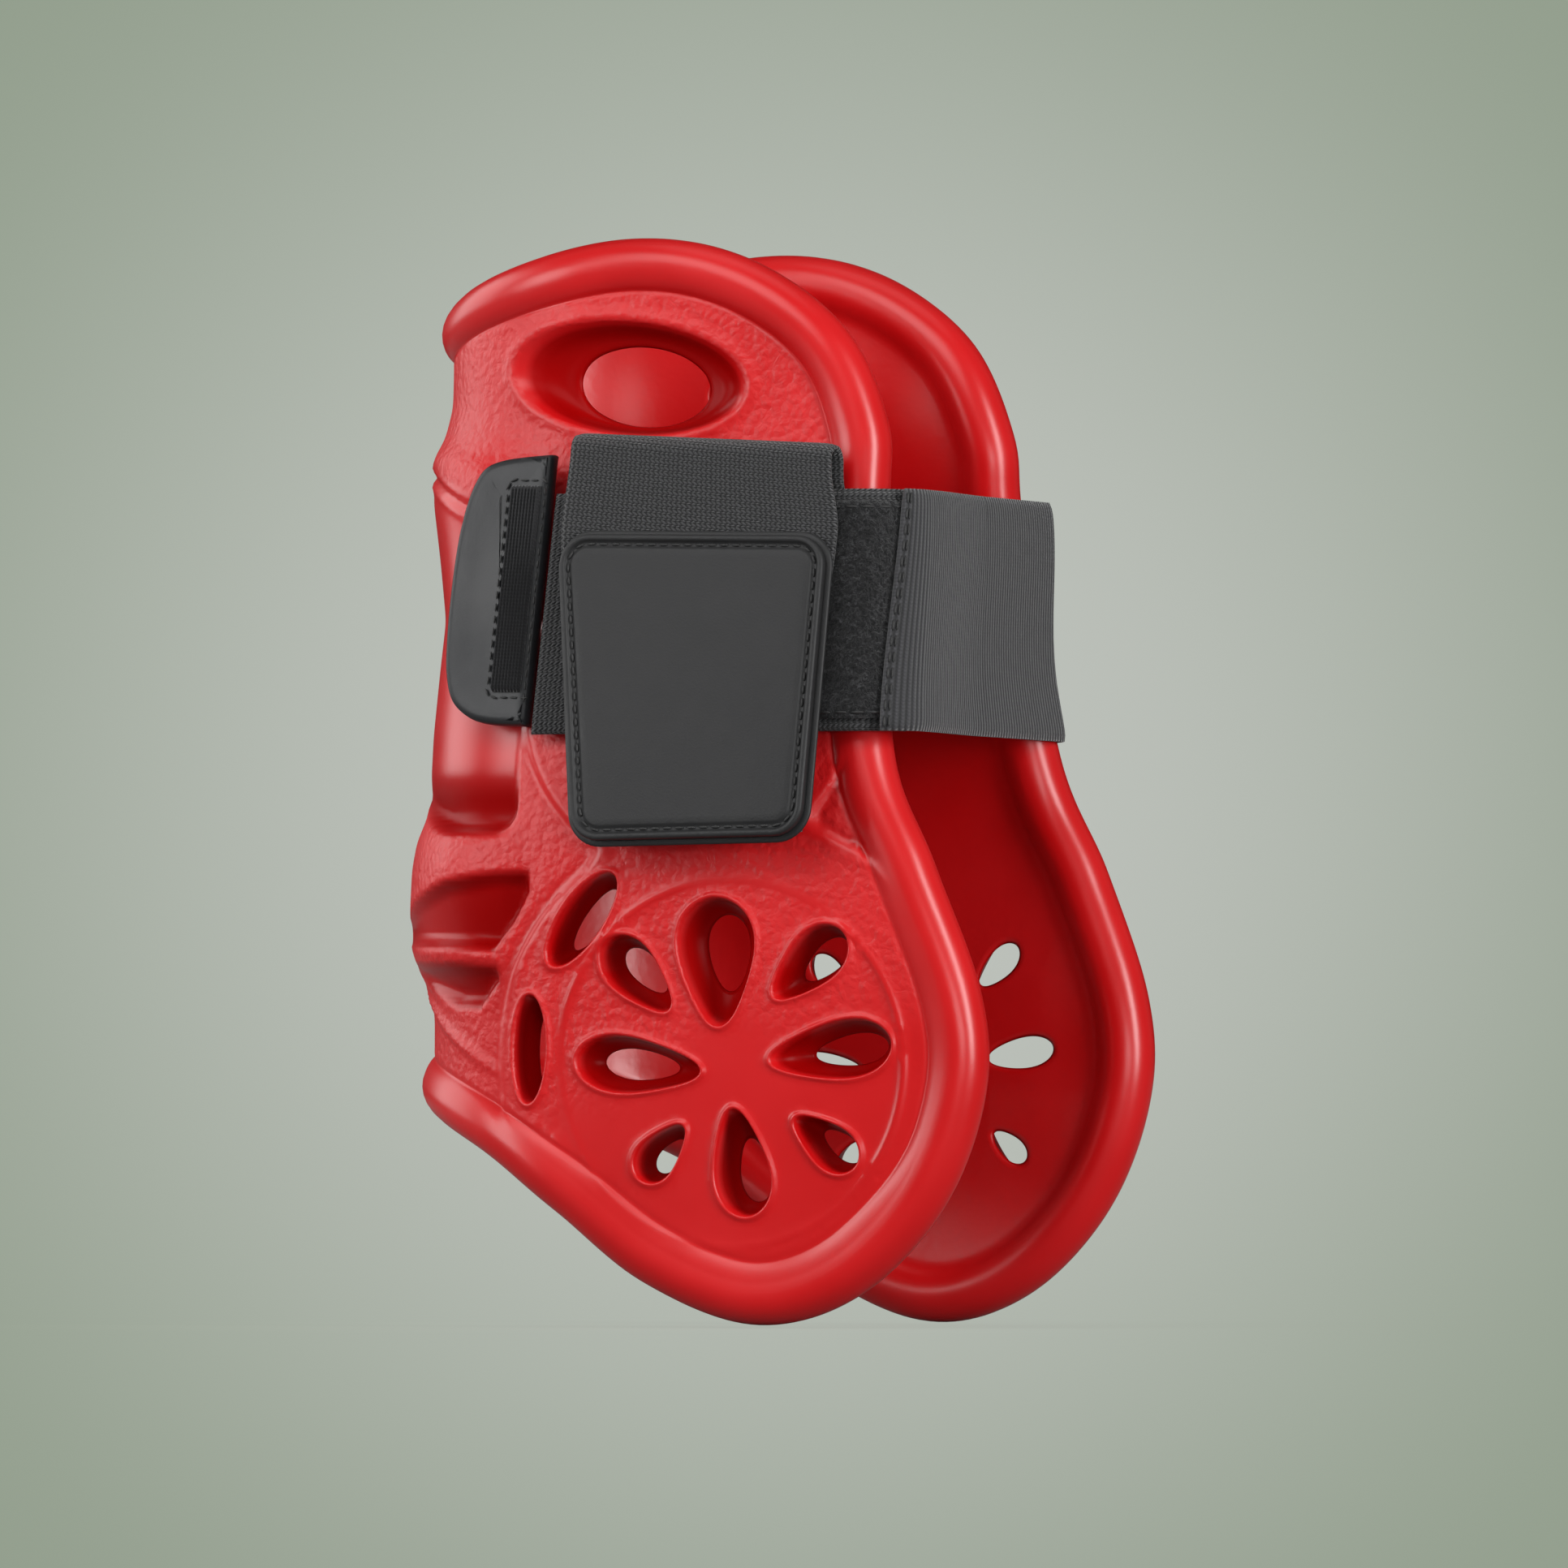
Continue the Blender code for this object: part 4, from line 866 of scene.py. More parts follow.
    def height(self, u: np.ndarray, z: np.ndarray) -> np.ndarray:
        """The outer skin's height at each place."""
        flank = self.flank(u)
        slope = 5.0 * smoothstep(30, 80, flank) * smoothstep(10, 24, z)
        lift = self.ridge * self.roll(z + slope) * (1 - smoothstep(self.fade[0], self.fade[1], flank))
        depth = self.panel(flank, z)
        lift -= self.panel_step * (0.35 + 0.65 * smoothstep(40, 70, flank)) * smoothstep(-0.4, 1.6, depth)
        lift -= 2.6 * smoothstep(-25, -36, z) * smoothstep(0.0, 2.5, depth) * smoothstep(10, 50, flank)
        edge = smoothstep(-2.0, 3.0, depth) * (1 - smoothstep(8.0, 11.0, depth))
        ripples = 0.55 * bell(depth, 1.2, 0.8) - 0.5 * bell(depth, 3.0, 0.7) + 0.35 * bell(depth, 4.6, 0.8)
        lift += edge * ripples * smoothstep(10, 20, z)
        lift -= self.scoops(flank, z)[0]
        crease = bell((z + 63.0) + (flank - 30) * 0.30, 0.0, 0.8)
        lift += 0.7 * crease * smoothstep(20, 34, flank) * (1 - smoothstep(66, 76, flank))
        return lift + self.fields(self.form.side_x(u, z), z) * smoothstep(60, 84, flank)

    def shade(self, u: np.ndarray, z: np.ndarray) -> np.ndarray:
        """How much painted shade darkens the deep places of the relief: the scoops and the undercut below the panel."""
        flank = self.flank(u)
        # Painted shade in the scoops, stronger towards the wing.
        scoop = self.scoops(flank, z)[1] * (0.55 + 0.45 * smoothstep(40, 70, flank))
        # Painted shade in the undercut below the panel's lower edge.
        under = smoothstep(-23, -31, z) * smoothstep(-0.5, 1.5, self.panel(flank, z)) * smoothstep(10, 40, flank)
        return np.clip(np.maximum(scoop, under), 0, 1)

    def grain(self, u: np.ndarray, z: np.ndarray) -> np.ndarray:
        """How much of the leather grain shows at each place."""
        flank = self.flank(u)
        x = self.form.side_x(u, z)
        boss, disc, reach = self.insets(x, z)
        panel = smoothstep(-0.3, 0.5, self.panel(flank, z))
        low = smoothstep(-66, -80, z + 0.25 * (self.flower[0] - x)) * smoothstep(44, 38, reach)
        line = np.maximum(smoothstep(1.8, 0.8, np.abs(np.maximum(boss, disc))),
                          smoothstep(1.3, 0.5, np.abs(reach - self.ring_radius)))
        share = (1 - panel) * (1 - self.scoops(flank, z)[1]) * (1 - 0.92 * low)
        return np.clip(share * (1 - 0.8 * smoothstep(12, 5, reach)) * (1 - 0.8 * line), 0, 1)


class SkinPlan:
    """The points of one skin, laid out flat before they are joined."""

    def __init__(self, outline: np.ndarray, weight: float) -> None:
        """Start a plan from its closed outline."""
        self.outline = outline
        self.places: list[np.ndarray] = []
        self.heights: list[np.ndarray] = []
        self.weights: list[np.ndarray] = []
        self.edges: list[tuple[int, int]] = []
        self.fixed: list[tuple[np.ndarray, np.ndarray, np.ndarray]] = []
        self.count = 0
        self.add(outline, 0.0, weight, tie=True)

    def add(self, places: np.ndarray, height: float = 0.0, weight: float = 1.0, tie: bool = False) -> np.ndarray:
        """Add points.

        Args:
            places: their places.
            height: their height above the relief.
            weight: how much of the relief they take.
            tie: whether they form a closed loop that no triangle may cross.

        Returns:
            Their numbers.
        """
        index = np.arange(len(places)) + self.count
        self.places.append(np.asarray(places, float))
        self.heights.append(np.full(len(places), float(height)))
        self.weights.append(np.full(len(places), float(weight)))
        if tie:
            self.edges += list(zip(index.tolist(), np.roll(index, -1).tolist()))
        self.count += len(places)
        return index

    def fill(self, domain: np.ndarray, holes: Sequence[np.ndarray], spacing: float) -> None:
        """Fill the domain with an even pattern of points that keeps clear of the others."""
        low, high = domain.min(0), domain.max(0)
        rows = []
        for number, height in enumerate(np.arange(low[1], high[1], spacing * 0.866)):
            x = np.arange(low[0] + spacing * (0.5 if number % 2 else 0.25), high[0], spacing)
            rows.append(np.stack([x, np.full_like(x, height)], axis=1))
        grid = np.concatenate(rows)
        grid = outside(grid[inside(grid, domain)], holes)
        self.add(grid[nearest(grid, np.concatenate(self.places))[0] > spacing * 0.62])

    def triangles(self, holes: Sequence[np.ndarray]) -> tuple[np.ndarray, ...]:
        """Join the points, outside the holes.

        Returns:
            The places, heights, weights and triangles; the first points keep their numbers.
        """
        places, heights, weights = (np.concatenate(rows) for rows in (self.places, self.heights, self.weights))
        made = delaunay_2d_cdt([Vector(p) for p in places], self.edges, [], 0, 1e-7)
        points, faces = np.array([tuple(p) for p in made[0]]), np.array(made[2])
        number = np.array([ids[0] if ids else -1 for ids in made[3]])
        extra = np.nonzero(number < 0)[0]
        LOG.info("skin: %d points, %d crossings", len(points), len(extra))
        near = nearest(points[extra], places)[1]
        number[extra] = len(places) + np.arange(len(extra))
        places = np.vstack([places, points[extra]])
        heights, weights = np.append(heights, heights[near]), np.append(weights, weights[near])
        middles = points[faces].mean(1)
        keep = inside(middles, self.outline)
        for hole in holes:
            keep &= ~inside(middles, hole)
        faces = number[faces[keep]]
        corners = places[faces]
        first, second = corners[:, 1] - corners[:, 0], corners[:, 2] - corners[:, 0]
        area = first[:, 0] * second[:, 1] - first[:, 1] * second[:, 0]
        faces[area < 0] = faces[area < 0][:, ::-1]
        return places, heights, weights, faces[np.abs(area) > 1e-9]


@dataclass
class MouldedShell:
    """The U-shaped moulding with its bead, rolls, scoops and vents.

    The apron and the cove are the skins' slopes beside the bead: each row is an inset from the bead's centre line, a
    height over the skin and the share of the relief. A vent's profile is rows of its share of the way to the throat,
    its growth and its height. The guards are how far other points keep from a vent: its neighbours' rings, the skin's
    own and the crisp lines'. Behind each throat lie the hole's ring, a loose one and the inner skin's guard.
    """

    form: BootForm = field(default_factory=BootForm)
    plan: VentPlan = field(default_factory=VentPlan)
    edge_step: float = 1.25
    skin_step: float = 0.92
    inner_step: float = 1.9
    vent_steps: Pair = (0.72, 0.9)
    loose_from: float = 0.3
    vent_guards: Triple = (1.5, 2.0, 2.4)
    throat_rings: Triple = (0.55, 1.3, 1.9)
    bead_steps: int = 18
    inner_grain: float = 0.15
    apron: tuple[Triple, ...] = (
        (2.03, 1.6, 0.0), (2.45, 1.37, 0.1), (2.85, 1.1, 0.25), (3.2, 0.8, 0.42), (3.5, 0.48, 0.6), (3.72, 0.18, 0.8),
        (3.88, -0.05, 0.9), (4.05, -0.14, 1.0), (4.3, -0.04, 1.0), (4.7, 0.0, 1.0))
    cove: tuple[Triple, ...] = (
        (2.9, 1.075, 0.0), (3.3, 0.77, 0.0), (3.7, 0.51, 0.0), (4.15, 0.28, 0.0), (4.7, 0.1, 0.0), (5.4, 0.0, 0.0))
    apron_spread: Triple = (0.35, 0.6, -0.3)
    petal_profile: tuple[Triple, ...] = (
        (0, 1.5, 0.0), (0, 1.15, 0.08), (0, 0.85, 0.26), (0, 0.6, 0.42), (0, 0.36, 0.44), (0, 0.15, 0.24),
        (0.0, 0, -0.1), (0.05, 0, -0.7), (0.11, 0, -1.5), (0.19, 0, -2.3), (0.3, 0, -3.0), (0.42, 0, -3.6),
        (0.56, 0, -4.1), (0.72, 0, -4.55), (0.87, 0, -4.9), (1.0, 0, -5.1))
    funnel_profile: tuple[Triple, ...] = (
        (0, 2.6, 0.0), (0, 1.9, 0.12), (0, 1.2, 0.35), (0, 0.6, 0.4), (0, 0.0, 0.18), (0.07, 0, -0.25),
        (0.15, 0, -0.9), (0.25, 0, -1.8), (0.38, 0, -2.9), (0.52, 0, -3.7), (0.66, 0, -4.25), (0.78, 0, -4.5),
        (0.87, 0, -4.55), (0.94, 0, -4.75), (1.0, 0, -5.1))

    def edge(self) -> np.ndarray:
        """The bead's centre line on the flat plan, from the spine's top round the wing to its hem."""
        side = self.form.edge_side()
        third = len(side) // 3
        turns = np.linspace(0, math.pi / 2, 60)
        spans = []
        for rows in (side[:third], side[-third:][::-1]):
            z = np.full_like(turns, rows[0][1])
            for _ in range(5):
                z = np.interp(-self.form.spine_depth(z) * np.cos(turns), rows[:, 0], rows[:, 1])
            spans.append(np.stack([turns * self.form.arc_scale, z], axis=1))
        wing = side[side[:, 0] > 0.3] + (self.form.root, 0)
        line = np.concatenate([spans[0], wing, spans[1][::-1]])
        return resample(line, self.form.point(*line.T), self.edge_step)

    def rail(self) -> Rail:
        """The bead's centre, the wall's normal and the way into the wall at each station."""
        u, z = self.edge().T
        centre = self.form.point(u, z)
        tangent = np.gradient(centre, axis=0)
        tangent[0], tangent[-1] = (0, 1, 0), (0, -1, 0)
        tangent = unit(tangent)
        step = 0.05
        across = self.form.point(u + step, z) - self.form.point(np.maximum(u - step, 0), z)
        up = self.form.point(u, z + step) - self.form.point(u, z - step)
        across[0] = across[-1] = (0, 1, 0)
        normal = unit(np.cross(up, across)) * -1
        normal = np.where((normal * (centre * (1, 1, 0))).sum(1, keepdims=True) < 0, -normal, normal)
        normal = unit(normal - tangent * (normal * tangent).sum(1, keepdims=True))
        inward = np.cross(normal, tangent)
        for rows in (centre, normal, inward):
            rows[0, 1] = rows[-1, 1] = 0.0
        return centre, unit(normal), unit(inward)

    def rim_outline(self, rail: Rail, inset: float) -> np.ndarray:
        """A skin's closed outline, from its rim so far inside the bead on along the spine's middle."""
        rim = self.form.flat_place(rail[0] + rail[2] * inset)
        rim[0, 0] = rim[-1, 0] = 0.0
        steps = max(2, round((rim[0, 1] - rim[-1, 1]) / 1.1))
        seam = np.stack([np.zeros(steps - 1), np.linspace(rim[-1, 1], rim[0, 1], steps + 1)[1:-1]], axis=1)
        return np.concatenate([rim, seam])

    def spread(self, z: np.ndarray) -> np.ndarray:
        """How much wider the bead's outer slope is at a height: more round the hem, less along the top."""
        side, low, high = self.apron_spread
        return 1 + side + low * smoothstep(-86, -106, z) + high * smoothstep(28, 50, z)

    def parallels(self, plan: SkinPlan, rail: Rail, rows: Sequence[Triple], spread: np.ndarray,
                  face: int) -> np.ndarray:
        """Lay points along lines parallel to the bead, whose places in space are kept with the plan.

        Args:
            plan: the skin's plan.
            rail: the bead's centre line, its normals and the way into the wall.
            rows: each line's inset and its height over the skin, from the skin's rim on.
            spread: how much wider the slope is at each station.
            face: 1 on the outer skin, -1 on the inner one.

        Returns:
            The last line, closed along the spine's middle.
        """
        centre, normal, inward = rail
        start = rows[0][0]
        places = np.zeros((0, 2))
        for inset, height, _ in rows[1:]:
            wide = start + (inset - start) * spread
            flat = centre + inward * wide[:, None]
            places = self.form.flat_place(flat)
            keep = (places[:, 0] > 0.4) & (clearance(flat, centre) > wide - 0.06)
            places = places[keep]
            points = flat + normal * face * (self.form.half_wall + height)
            plan.fixed.append((plan.add(places), points[keep], normal[keep] * face))
        return np.concatenate([[(0, places[0, 1])], places, [(0, places[-1, 1])]])

    def insets(self, places: np.ndarray, centre: np.ndarray) -> np.ndarray:
        """How far inside the bead's centre line each place is."""
        return nearest(self.form.point(*places.T), resample(centre, centre, 0.25))[0]

    def vent_rings(self, vent: Vent, vents: Sequence[Vent], plan: SkinPlan,
                   zone: np.ndarray) -> tuple[np.ndarray, np.ndarray]:
        """Lay out a vent's rings, clear of the others', and give its throat's points and places."""
        is_funnel = vent is self.plan.funnel
        profile = self.funnel_profile if is_funnel else self.petal_profile
        count = max(28, round((vent.length + vent.width) * 1.55 / self.vent_steps[is_funnel]))
        rims = self.outlines([other for other in vents if other is not vent], 0, self.vent_guards[0], 48)
        for share, grow, height in profile[:-1]:
            places = self.form.to_plan(vent.outline(share, grow, count))
            if grow > self.loose_from:
                plan.add(outside(places[inside(places, zone)], rims), height)
            else:
                plan.add(places, height, 1 - share, tie=True)
        throat = self.form.to_plan(vent.outline(1, 0, count))
        return plan.add(throat, profile[-1][2], 0.0, tie=True), throat

    def outlines(self, vents: Sequence[Vent], share: float, grow: float, count: int) -> list[np.ndarray]:
        """The vents' outlines on the flat plan."""
        return [self.form.to_plan(vent.outline(share, grow, count)) for vent in vents]

    def ring_points(self, plan: SkinPlan, relief: ReliefForm, vents: Sequence[Vent], domain: np.ndarray) -> None:
        """Lay points along the flower's ring and the raised fields' edges, so that those lines are crisp."""
        rims = self.outlines(vents, 0, self.vent_guards[2], 48)
        rings = ((relief.flower, relief.ring_radius, 0.6, 0.8), (relief.flower, relief.disc_radius, 0.8, 0.9),
                 (relief.boss[:2], relief.boss[2], 0.8, 0.9))
        for centre, middle, gap, step in rings:
            for offset in range(-2, 3):
                radius = middle + offset * gap
                side = circle(radius, np.arange(0, 2 * math.pi, step / radius)) + centre
                places = self.form.to_plan(side[side[:, 0] > -20])
                places = outside(places[inside(places, domain)], rims)
                if len(places):
                    plan.add(places[clearance(places, np.concatenate(plan.places)) > 0.35])

    def outer_skin(self, rail: Rail, vents: Sequence[Vent]) -> tuple:
        """Lay out, join and lift the outer skin.

        Returns:
            Its points, its triangles, its grain and painted shade marks, and each vent's throat as numbers and places.
        """
        relief = ReliefForm(self.form)
        centre = rail[0]
        apron = np.array(self.apron)
        start = apron[0, 0]
        plan = SkinPlan(self.rim_outline(rail, start), 1.0)
        zone = self.parallels(plan, rail, self.apron, self.spread(centre[:, 2]), 1)
        throats = [self.vent_rings(vent, vents, plan, zone) for vent in vents]
        self.ring_points(plan, relief, vents, zone)
        plan.fill(zone, self.outlines(vents, 0, self.vent_guards[1], 60), self.skin_step)
        places, heights, weights, faces = plan.triangles([throat for _, throat in throats])
        u, z = places.T
        inset = start + (self.insets(places, centre) - start) / self.spread(z)
        rise = weights * np.interp(inset, apron[:, 0], apron[:, 2]) * relief.height(u, z)
        lift = heights + rise + np.interp(inset, apron[:, 0], apron[:, 1])
        skin = self.form.point(u, z, self.form.half_wall + lift)
        for numbers, points, ways in plan.fixed:
            skin[numbers] = points + ways * rise[numbers][:, None]
        grain = relief.grain(u, z) * (heights > -0.3) * (weights > 0.99)
        grain *= smoothstep(0.9, 0.0, np.abs(heights)) * smoothstep(4.0, 4.7, inset)
        # Painted shade: the relief's scoops and undercut, and the vent walls that sink below the skin.
        shade = np.maximum(relief.shade(u, z) * smoothstep(3.5, 4.5, inset), smoothstep(-0.5, -2.2, heights))
        return skin, faces, np.stack([grain, shade]), throats

    def inner_skin(self, rail: Rail, vents: Sequence[Vent], throats: Sequence[tuple]) -> tuple:
        """Lay out, join and sink the inner skin.

        Returns:
            Its points, its triangles and the numbers of the ring behind each throat.
        """
        centre = rail[0]
        cove = np.array(self.cove)
        plan = SkinPlan(self.rim_outline(rail, cove[0, 0]), 0.0)
        zone = self.parallels(plan, rail, self.cove, np.ones(len(centre)), -1)
        rings, numbers = [], []
        for vent, (index, _) in zip(vents, throats):
            ring, loose = (self.form.to_plan(vent.outline(1, grow, len(index))) for grow in self.throat_rings[:2])
            rings.append(ring)
            numbers.append(plan.add(ring, 0.0, 0.0, tie=True))
            plan.add(loose, 0.0, 0.0)
        plan.fill(zone, self.outlines(vents, 1, self.throat_rings[2], 60), self.inner_step)
        places, _, _, faces = plan.triangles(rings)
        sunk = np.interp(self.insets(places, centre), cove[:, 0], cove[:, 1])
        skin = self.form.point(*places.T, -self.form.half_wall - sunk)
        for fixed, points, _ in plan.fixed:
            skin[fixed] = points
        return skin, faces, numbers

    def build(self, palette: Palette) -> Object:
        """Build the whole moulding and put it on its body."""
        vents = self.plan.build()
        rail = centre, normal, inward = self.rail()
        skin, faces, marks, throats = self.outer_skin(rail, vents)
        inner, inner_faces, rings = self.inner_skin(rail, vents, throats)
        start, count = len(skin), len(centre)
        all_faces = faces[:, ::-1].tolist() + (inner_faces + start).tolist()
        for (index, _), numbers in zip(throats, rings):
            all_faces += [quad[::-1] for quad in bridge_loops(index.tolist(), (numbers + start).tolist())]

        first, last = (math.acos(-slope[0][0] / self.form.bead) for slope in (self.apron, self.cove))
        lines = [centre + self.form.bead * (-math.cos(turn) * inward + math.sin(turn) * normal)
                 for turn in np.linspace(first, -last, self.bead_steps + 1)]
        skin[:count], inner[:count] = lines[0], lines[-1]
        bead = np.concatenate(lines[1:-1])
        bead_starts = [start + len(inner) + row * count for row in range(len(lines) - 2)]
        rows = [list(range(row, row + count)) for row in [0, *bead_starts, start]]
        for low, high in zip(rows, rows[1:]):
            all_faces += bridge_loops(high, low, closed=False)

        points = np.concatenate([skin, inner, bead])
        plain = np.zeros((2, len(inner) + len(bead)))
        plain[0, :len(inner)] = self.inner_grain
        points, all_faces, marks = self.mirrored(points, all_faces, np.concatenate([marks, plain], axis=1))
        piece = make_piece("boot_shell", points, all_faces, palette.foam, marks={"grain": marks[0], "shade": marks[1]})
        return settle(piece, "red_foam", "shell", body=Body.MOULDING)

    @staticmethod
    def mirrored(points: np.ndarray, faces: list, marks: np.ndarray) -> tuple[np.ndarray, list, np.ndarray]:
        """Add the near half, joined to the far one along the spine's middle."""
        free = np.abs(points[:, 1]) >= 1e-6
        number = np.arange(len(points))
        number[free] = len(points) + np.arange(free.sum())
        flipped = [tuple(int(number[i]) for i in reversed(face)) for face in faces]
        return (np.concatenate([points, points[free] * (1, -1, 1)]), [tuple(face) for face in faces] + flipped,
                np.concatenate([marks, marks[:, free]], axis=1))


# The strap.

@dataclass
class StrapForm:
    """Where the strap's layers lie: its plane on the near wing and its turns round the two beads."""

    form: BootForm = field(default_factory=BootForm)
    gap: float = 0.3
    seat: float = 0.1
    slack: float = 4.0
    half: float = 20.0
    webbing: float = 1.2
    tape: float = 0.7
    loop: float = 0.9
    elastic: float = 1.6
    anchor_left: float = 16.0
    left: float = -1.6
    left_slant: float = 0.056
    pad: tuple[float, float, float, float] = (3.0, 34.0, -17.0, 8.0)
    tab_width: float = 49.6
    tab_left: float = 1.2
    fold_height: float = 28.5
    tab: float = 1.2
    back_lap: float = 10.0

    def __post_init__(self) -> None:
        """Find the strap's plane."""
        heights = (-self.half, self.half - self.back_lap, self.half, self.fold_height)
        touches = [self.rim_touch(height) for height in heights]
        stand = self.form.half_wall + self.tape * 2 + self.gap * 3
        left = self.form.point(-self.form.root, 0, stand)
        rim = (touches[0] + touches[1]) / 2
        along = unit(np.array([rim[0] - left[0], rim[1] - left[1], 0.0]))
        lean = (touches[1][1] - touches[0][1]) / (heights[1] - heights[0])
        up = np.array([0, lean, 1.0])
        up = unit(up - along * (up @ along))
        out = unit(np.cross(along, up))
        stack = [self.form.point(-self.form.root - self.pad[1] * share, height, stand)
                 for height in heights for share in np.arange(7) / 6]
        reach = max(float(place @ out) for place in touches + stack)
        origin = rim + out * (reach - rim @ out)
        origin -= up * (origin[2] / up[2])
        self.along, self.up, self.out, self.origin = along, up, out, origin

    def rim_touch(self, height: float) -> np.ndarray:
        """Where the webbing may touch the near bead."""
        stand = self.form.bead + self.gap
        if height >= self.half - self.back_lap:
            stand += self.tab + self.gap
        return self.form.front_edge(-1, height) - np.array([0, stand, 0])

    def at(self, along: np.ndarray, up: np.ndarray, out: np.ndarray) -> np.ndarray:
        """A place in the strap's frame, in the boot's frame."""
        along, up, out = np.broadcast_arrays(*(np.asarray(v, float) for v in (along, up, out)))
        return self.origin + along[..., None] * self.along + up[..., None] * self.up + out[..., None] * self.out

    def reach(self, x: float) -> float:
        """A world X as a place along the strap."""
        return (x - self.origin[0]) / self.along[0]

    def bend(self, share: np.ndarray, height: float, lift: np.ndarray | float) -> np.ndarray:
        """A place round the near bead: share 0 on the wing, 1 at the open front."""
        centre = self.form.front_edge(-1, height)
        start = math.atan2(self.out[1], self.out[0])
        turn = start - np.asarray(share) * start
        reach = ((self.origin - centre) @ self.out + lift) / np.linalg.norm(self.out[:2])
        return np.stack([centre[0] + reach * np.cos(turn), centre[1] + reach * np.sin(turn),
                         np.full_like(turn, centre[2])], axis=-1)

    def bend_end(self, height: float, lift: float) -> np.ndarray:
        """The end of the turn round the near bead, at the open front."""
        return self.bend(np.array([1.0]), height, lift)[0]

    def far(self, angle: np.ndarray, height: float, lift: np.ndarray | float) -> np.ndarray:
        """A place round the far bead: 0 at the open front, 90 degrees on the outside."""
        centre = self.form.front_edge(1, height)
        reach = self.form.bead + self.gap + lift
        slack = self.slack * float(smoothstep(-self.half * 0.6, self.half, np.array(height))) * np.cos(angle) ** 2
        return np.stack([centre[0] + (reach + slack) * np.cos(angle), centre[1] + reach * np.sin(angle),
                         np.full_like(angle, centre[2])], axis=-1)

    def far_end(self, height: float, lift: float, angle: float = 0.0) -> np.ndarray:
        """One end of the turn round the far bead, the one at the open front unless an angle is given."""
        return self.far(np.array([angle]), height, lift)[0]

    def near_path(self, left: float, height: float, lift: float) -> np.ndarray:
        """A layer's line on the near wing and round the bead, at one height."""
        start = self.bend(np.array([0.0]), height, lift)[0]
        slant = self.left_slant * (self.half - height) if left == self.left else 0.0
        first = start + self.along * (self.reach(left) - slant - (start - self.origin) @ self.along)
        return np.concatenate([np.linspace(first, start, 100), self.bend(np.linspace(0, 1, 26), height, lift)[1:]])

    def fold(self) -> Triple:
        """The lock tab's front leaf's inner face, its fold's radius and that fold's height."""
        front = self.webbing + self.loop + self.tape + self.gap * 3
        radius = (front + self.gap) / 2
        return front, radius, self.fold_height - radius - self.tab

    def hinge(self, piece: Object) -> None:
        """Bake a layer's place into its mesh, with the hinge where the near bend ends."""
        stack = self.webbing + self.gap + self.loop
        bend_at(piece, Body.BRIDGE, Body.CLOSURE, (self.bend_end(-self.half, stack), self.bend_end(self.half, stack)),
                0.6)


